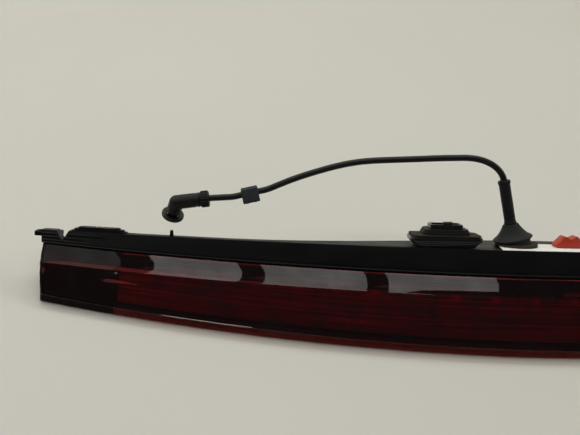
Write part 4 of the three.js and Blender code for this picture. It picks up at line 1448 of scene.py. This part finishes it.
@dataclass
class Grommet:
    """The leaning hose grommet with its sleeve and foam pad."""

    foot: tuple[float, float, float] = (-38.2 * MM, 24 * MM, 81.2 * MM)
    lean: float = math.radians(12.6)
    bore: float = 3.0 * MM

    def frame(self) -> Matrix:
        """Gives the leaning axes of the grommet."""
        return Matrix.Translation(self.foot) @ Matrix.Rotation(-self.lean, 4, "Y")

    def build_cone(self) -> None:
        """Makes the flared rubber grommet with its rolled rim."""
        profile = smooth_chain(in_metres([
            (15.0, 0.9), (14.4, 1.7), (12.0, 3.4), (9.6, 5.9), (7.4, 9.0), (6.2, 11.2),
        ]), 4)
        closed = [
            (self.bore, 0.0), (14.4 * MM, 0.0),
            *profile,
            (5.9 * MM, 11.8 * MM), (5.3 * MM, 12.0 * MM), (self.bore, 12.0 * MM), (self.bore, 0.0),
        ]
        bm = transformed(lathe(closed, 64), self.frame())
        Piece("hose_grommet_cone", bm, GREY_RUBBER, Body.LAMP, ("hose_grommet",), "grey_green_rubber").place()

    def build_sleeve(self) -> None:
        """Makes the ringed sleeve that stiffens the hose where it leaves the grommet."""
        outside: list[Pair] = [(4.7 * MM, 12.3 * MM), (4.7 * MM, 13.6 * MM), (4.3 * MM, 14.4 * MM)]
        height = 16.0 * MM
        while height < 42.0 * MM:
            outside += [(4.3 * MM, height), (4.15 * MM, height + 0.5 * MM), (4.3 * MM, height + 1.0 * MM)]
            height += 4.2 * MM
        outside += [
            (4.25 * MM, 43.2 * MM), (4.7 * MM, 44.0 * MM), (4.8 * MM, 45.4 * MM),
            (4.5 * MM, 46.3 * MM), (4.0 * MM, 46.6 * MM),
        ]
        closed = [(self.bore, 12.3 * MM), *outside, (self.bore, 46.2 * MM), (self.bore, 12.3 * MM)]
        bm = transformed(lathe(closed, 48), self.frame())
        Piece("hose_sleeve", bm, RUBBER, Body.LAMP, ("grommet_sleeve",), "rubber").place()

    def build_pad(self) -> None:
        """Makes the foam wedge between the housing and the tilted grommet."""
        angles = evenly(0, 2 * math.pi, 0.15)[:-1]
        outer = [(12.6 * MM * math.cos(a), 12.6 * MM * math.sin(a)) for a in angles]
        inner = [(6.4 * MM * math.cos(a), 6.4 * MM * math.sin(a)) for a in angles]
        bm = hollow_slab(outer, inner, 76.3 * MM, 90 * MM, 0.0001)
        move(bm, (self.foot[0] + 0.5 * MM, self.foot[1], 0))
        normal = Vector((-math.sin(self.lean), 0, math.cos(self.lean)))
        cut = bmesh.ops.bisect_plane(
            bm,
            geom=[*bm.verts, *bm.edges, *bm.faces],
            plane_co=Vector(self.foot) - normal * 0.3 * MM,
            plane_no=normal,
            clear_outer=True,
        )
        rims = [item for item in cut["geom_cut"] if isinstance(item, bmesh.types.BMEdge)]
        bmesh.ops.bridge_loops(bm, edges=rims)
        bmesh.ops.recalc_face_normals(bm, faces=bm.faces)
        sheet_outer = [(x * 16 / 12.6, y * 16 / 12.6) for x, y in outer]
        sheet = hollow_slab(sheet_outer, inner, 76.3 * MM, 78.3 * MM, 0.0001)
        for vert in sheet.verts:
            if vert.co.z > 77 * MM:
                vert.co.z += vert.co.x * 0.05
        absorb(bm, move(sheet, (self.foot[0] + 3 * MM, self.foot[1], 0)))
        Piece("grommet_foam_wedge", bm, FOAM, Body.LAMP, ("grommet_foam_pad",), "foam").place()

    def build(self) -> None:
        """Builds the grommet from its pad upwards."""
        self.build_pad()
        self.build_cone()
        self.build_sleeve()


@dataclass
class SmallParts:
    """The red retainer, the blank label and the washer nozzle."""

    label_thickness: float = 0.12 * MM

    def build_retainer(self) -> None:
        """Makes the red two-peaked retainer in the middle."""
        base = [(-6.5, 0), (14, 0), (14, 2.3)]
        peaks = [(10, 8.9), (9, 8.9), (4.4, 6.4), (1.4, 8.7), (-0.4, 8.7), (-6.5, 2.3)]
        points = rounded(in_metres([*base, *peaks]), 0.9 * MM, 3)
        bm = slab(points, -5 * MM, 5 * MM, 0.5 * MM)
        turn(bm, math.pi / 2, "X")
        move(bm, (0, 21 * MM, 76.3 * MM))
        Piece("red_centre_retainer", bm, RED_PLASTIC, Body.LAMP, ("centre_retainer",), "red_plastic").place()

    def build_label(self) -> None:
        """Makes the blank white label on the mounting side."""
        outline = rounded([(-53, 1.2), (46, 1.2), (46, 33), (-48, 33)], 1.0)
        points = [(x * MM, y * MM) for x, y in outline]
        bm = slab(points, 76.0 * MM, 76.0 * MM + self.label_thickness)
        Piece("blank_label", bm, PAPER, Body.LAMP, (), "white_plastic").place()

    def dress_nozzle(self) -> None:
        """Gives the washer nozzle and the valve behind it their finishes."""
        dress("nozzle_body", BLACK_PLASTIC)
        dress("jet_ball", BRASS)
        dress("nozzle_cap", MATTE_BLACK)
        dress("check_valve", WHITE_PLASTIC)
        dress("feed_tube", HOSE_RUBBER)

    def build(self) -> None:
        """Builds the retainer and the label and dresses the nozzle."""
        self.build_retainer()
        self.build_label()
        self.dress_nozzle()


def main() -> None:
    """Builds the studio and every sub-assembly in order."""
    logging.basicConfig(level=logging.INFO, format="%(name)s: %(message)s")
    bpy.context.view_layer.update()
    bpy.context.scene.view_settings.view_transform = "Standard"
    studio = Studio()
    studio.build_camera()
    WasherHose().build()
    Lens().build()
    Optics().build()
    Housing().build()
    Connector().build()
    Grommet().build()
    SmallParts().build()
    studio.build_floor()
    studio.build_lights()


if __name__ == "__main__":
    main()
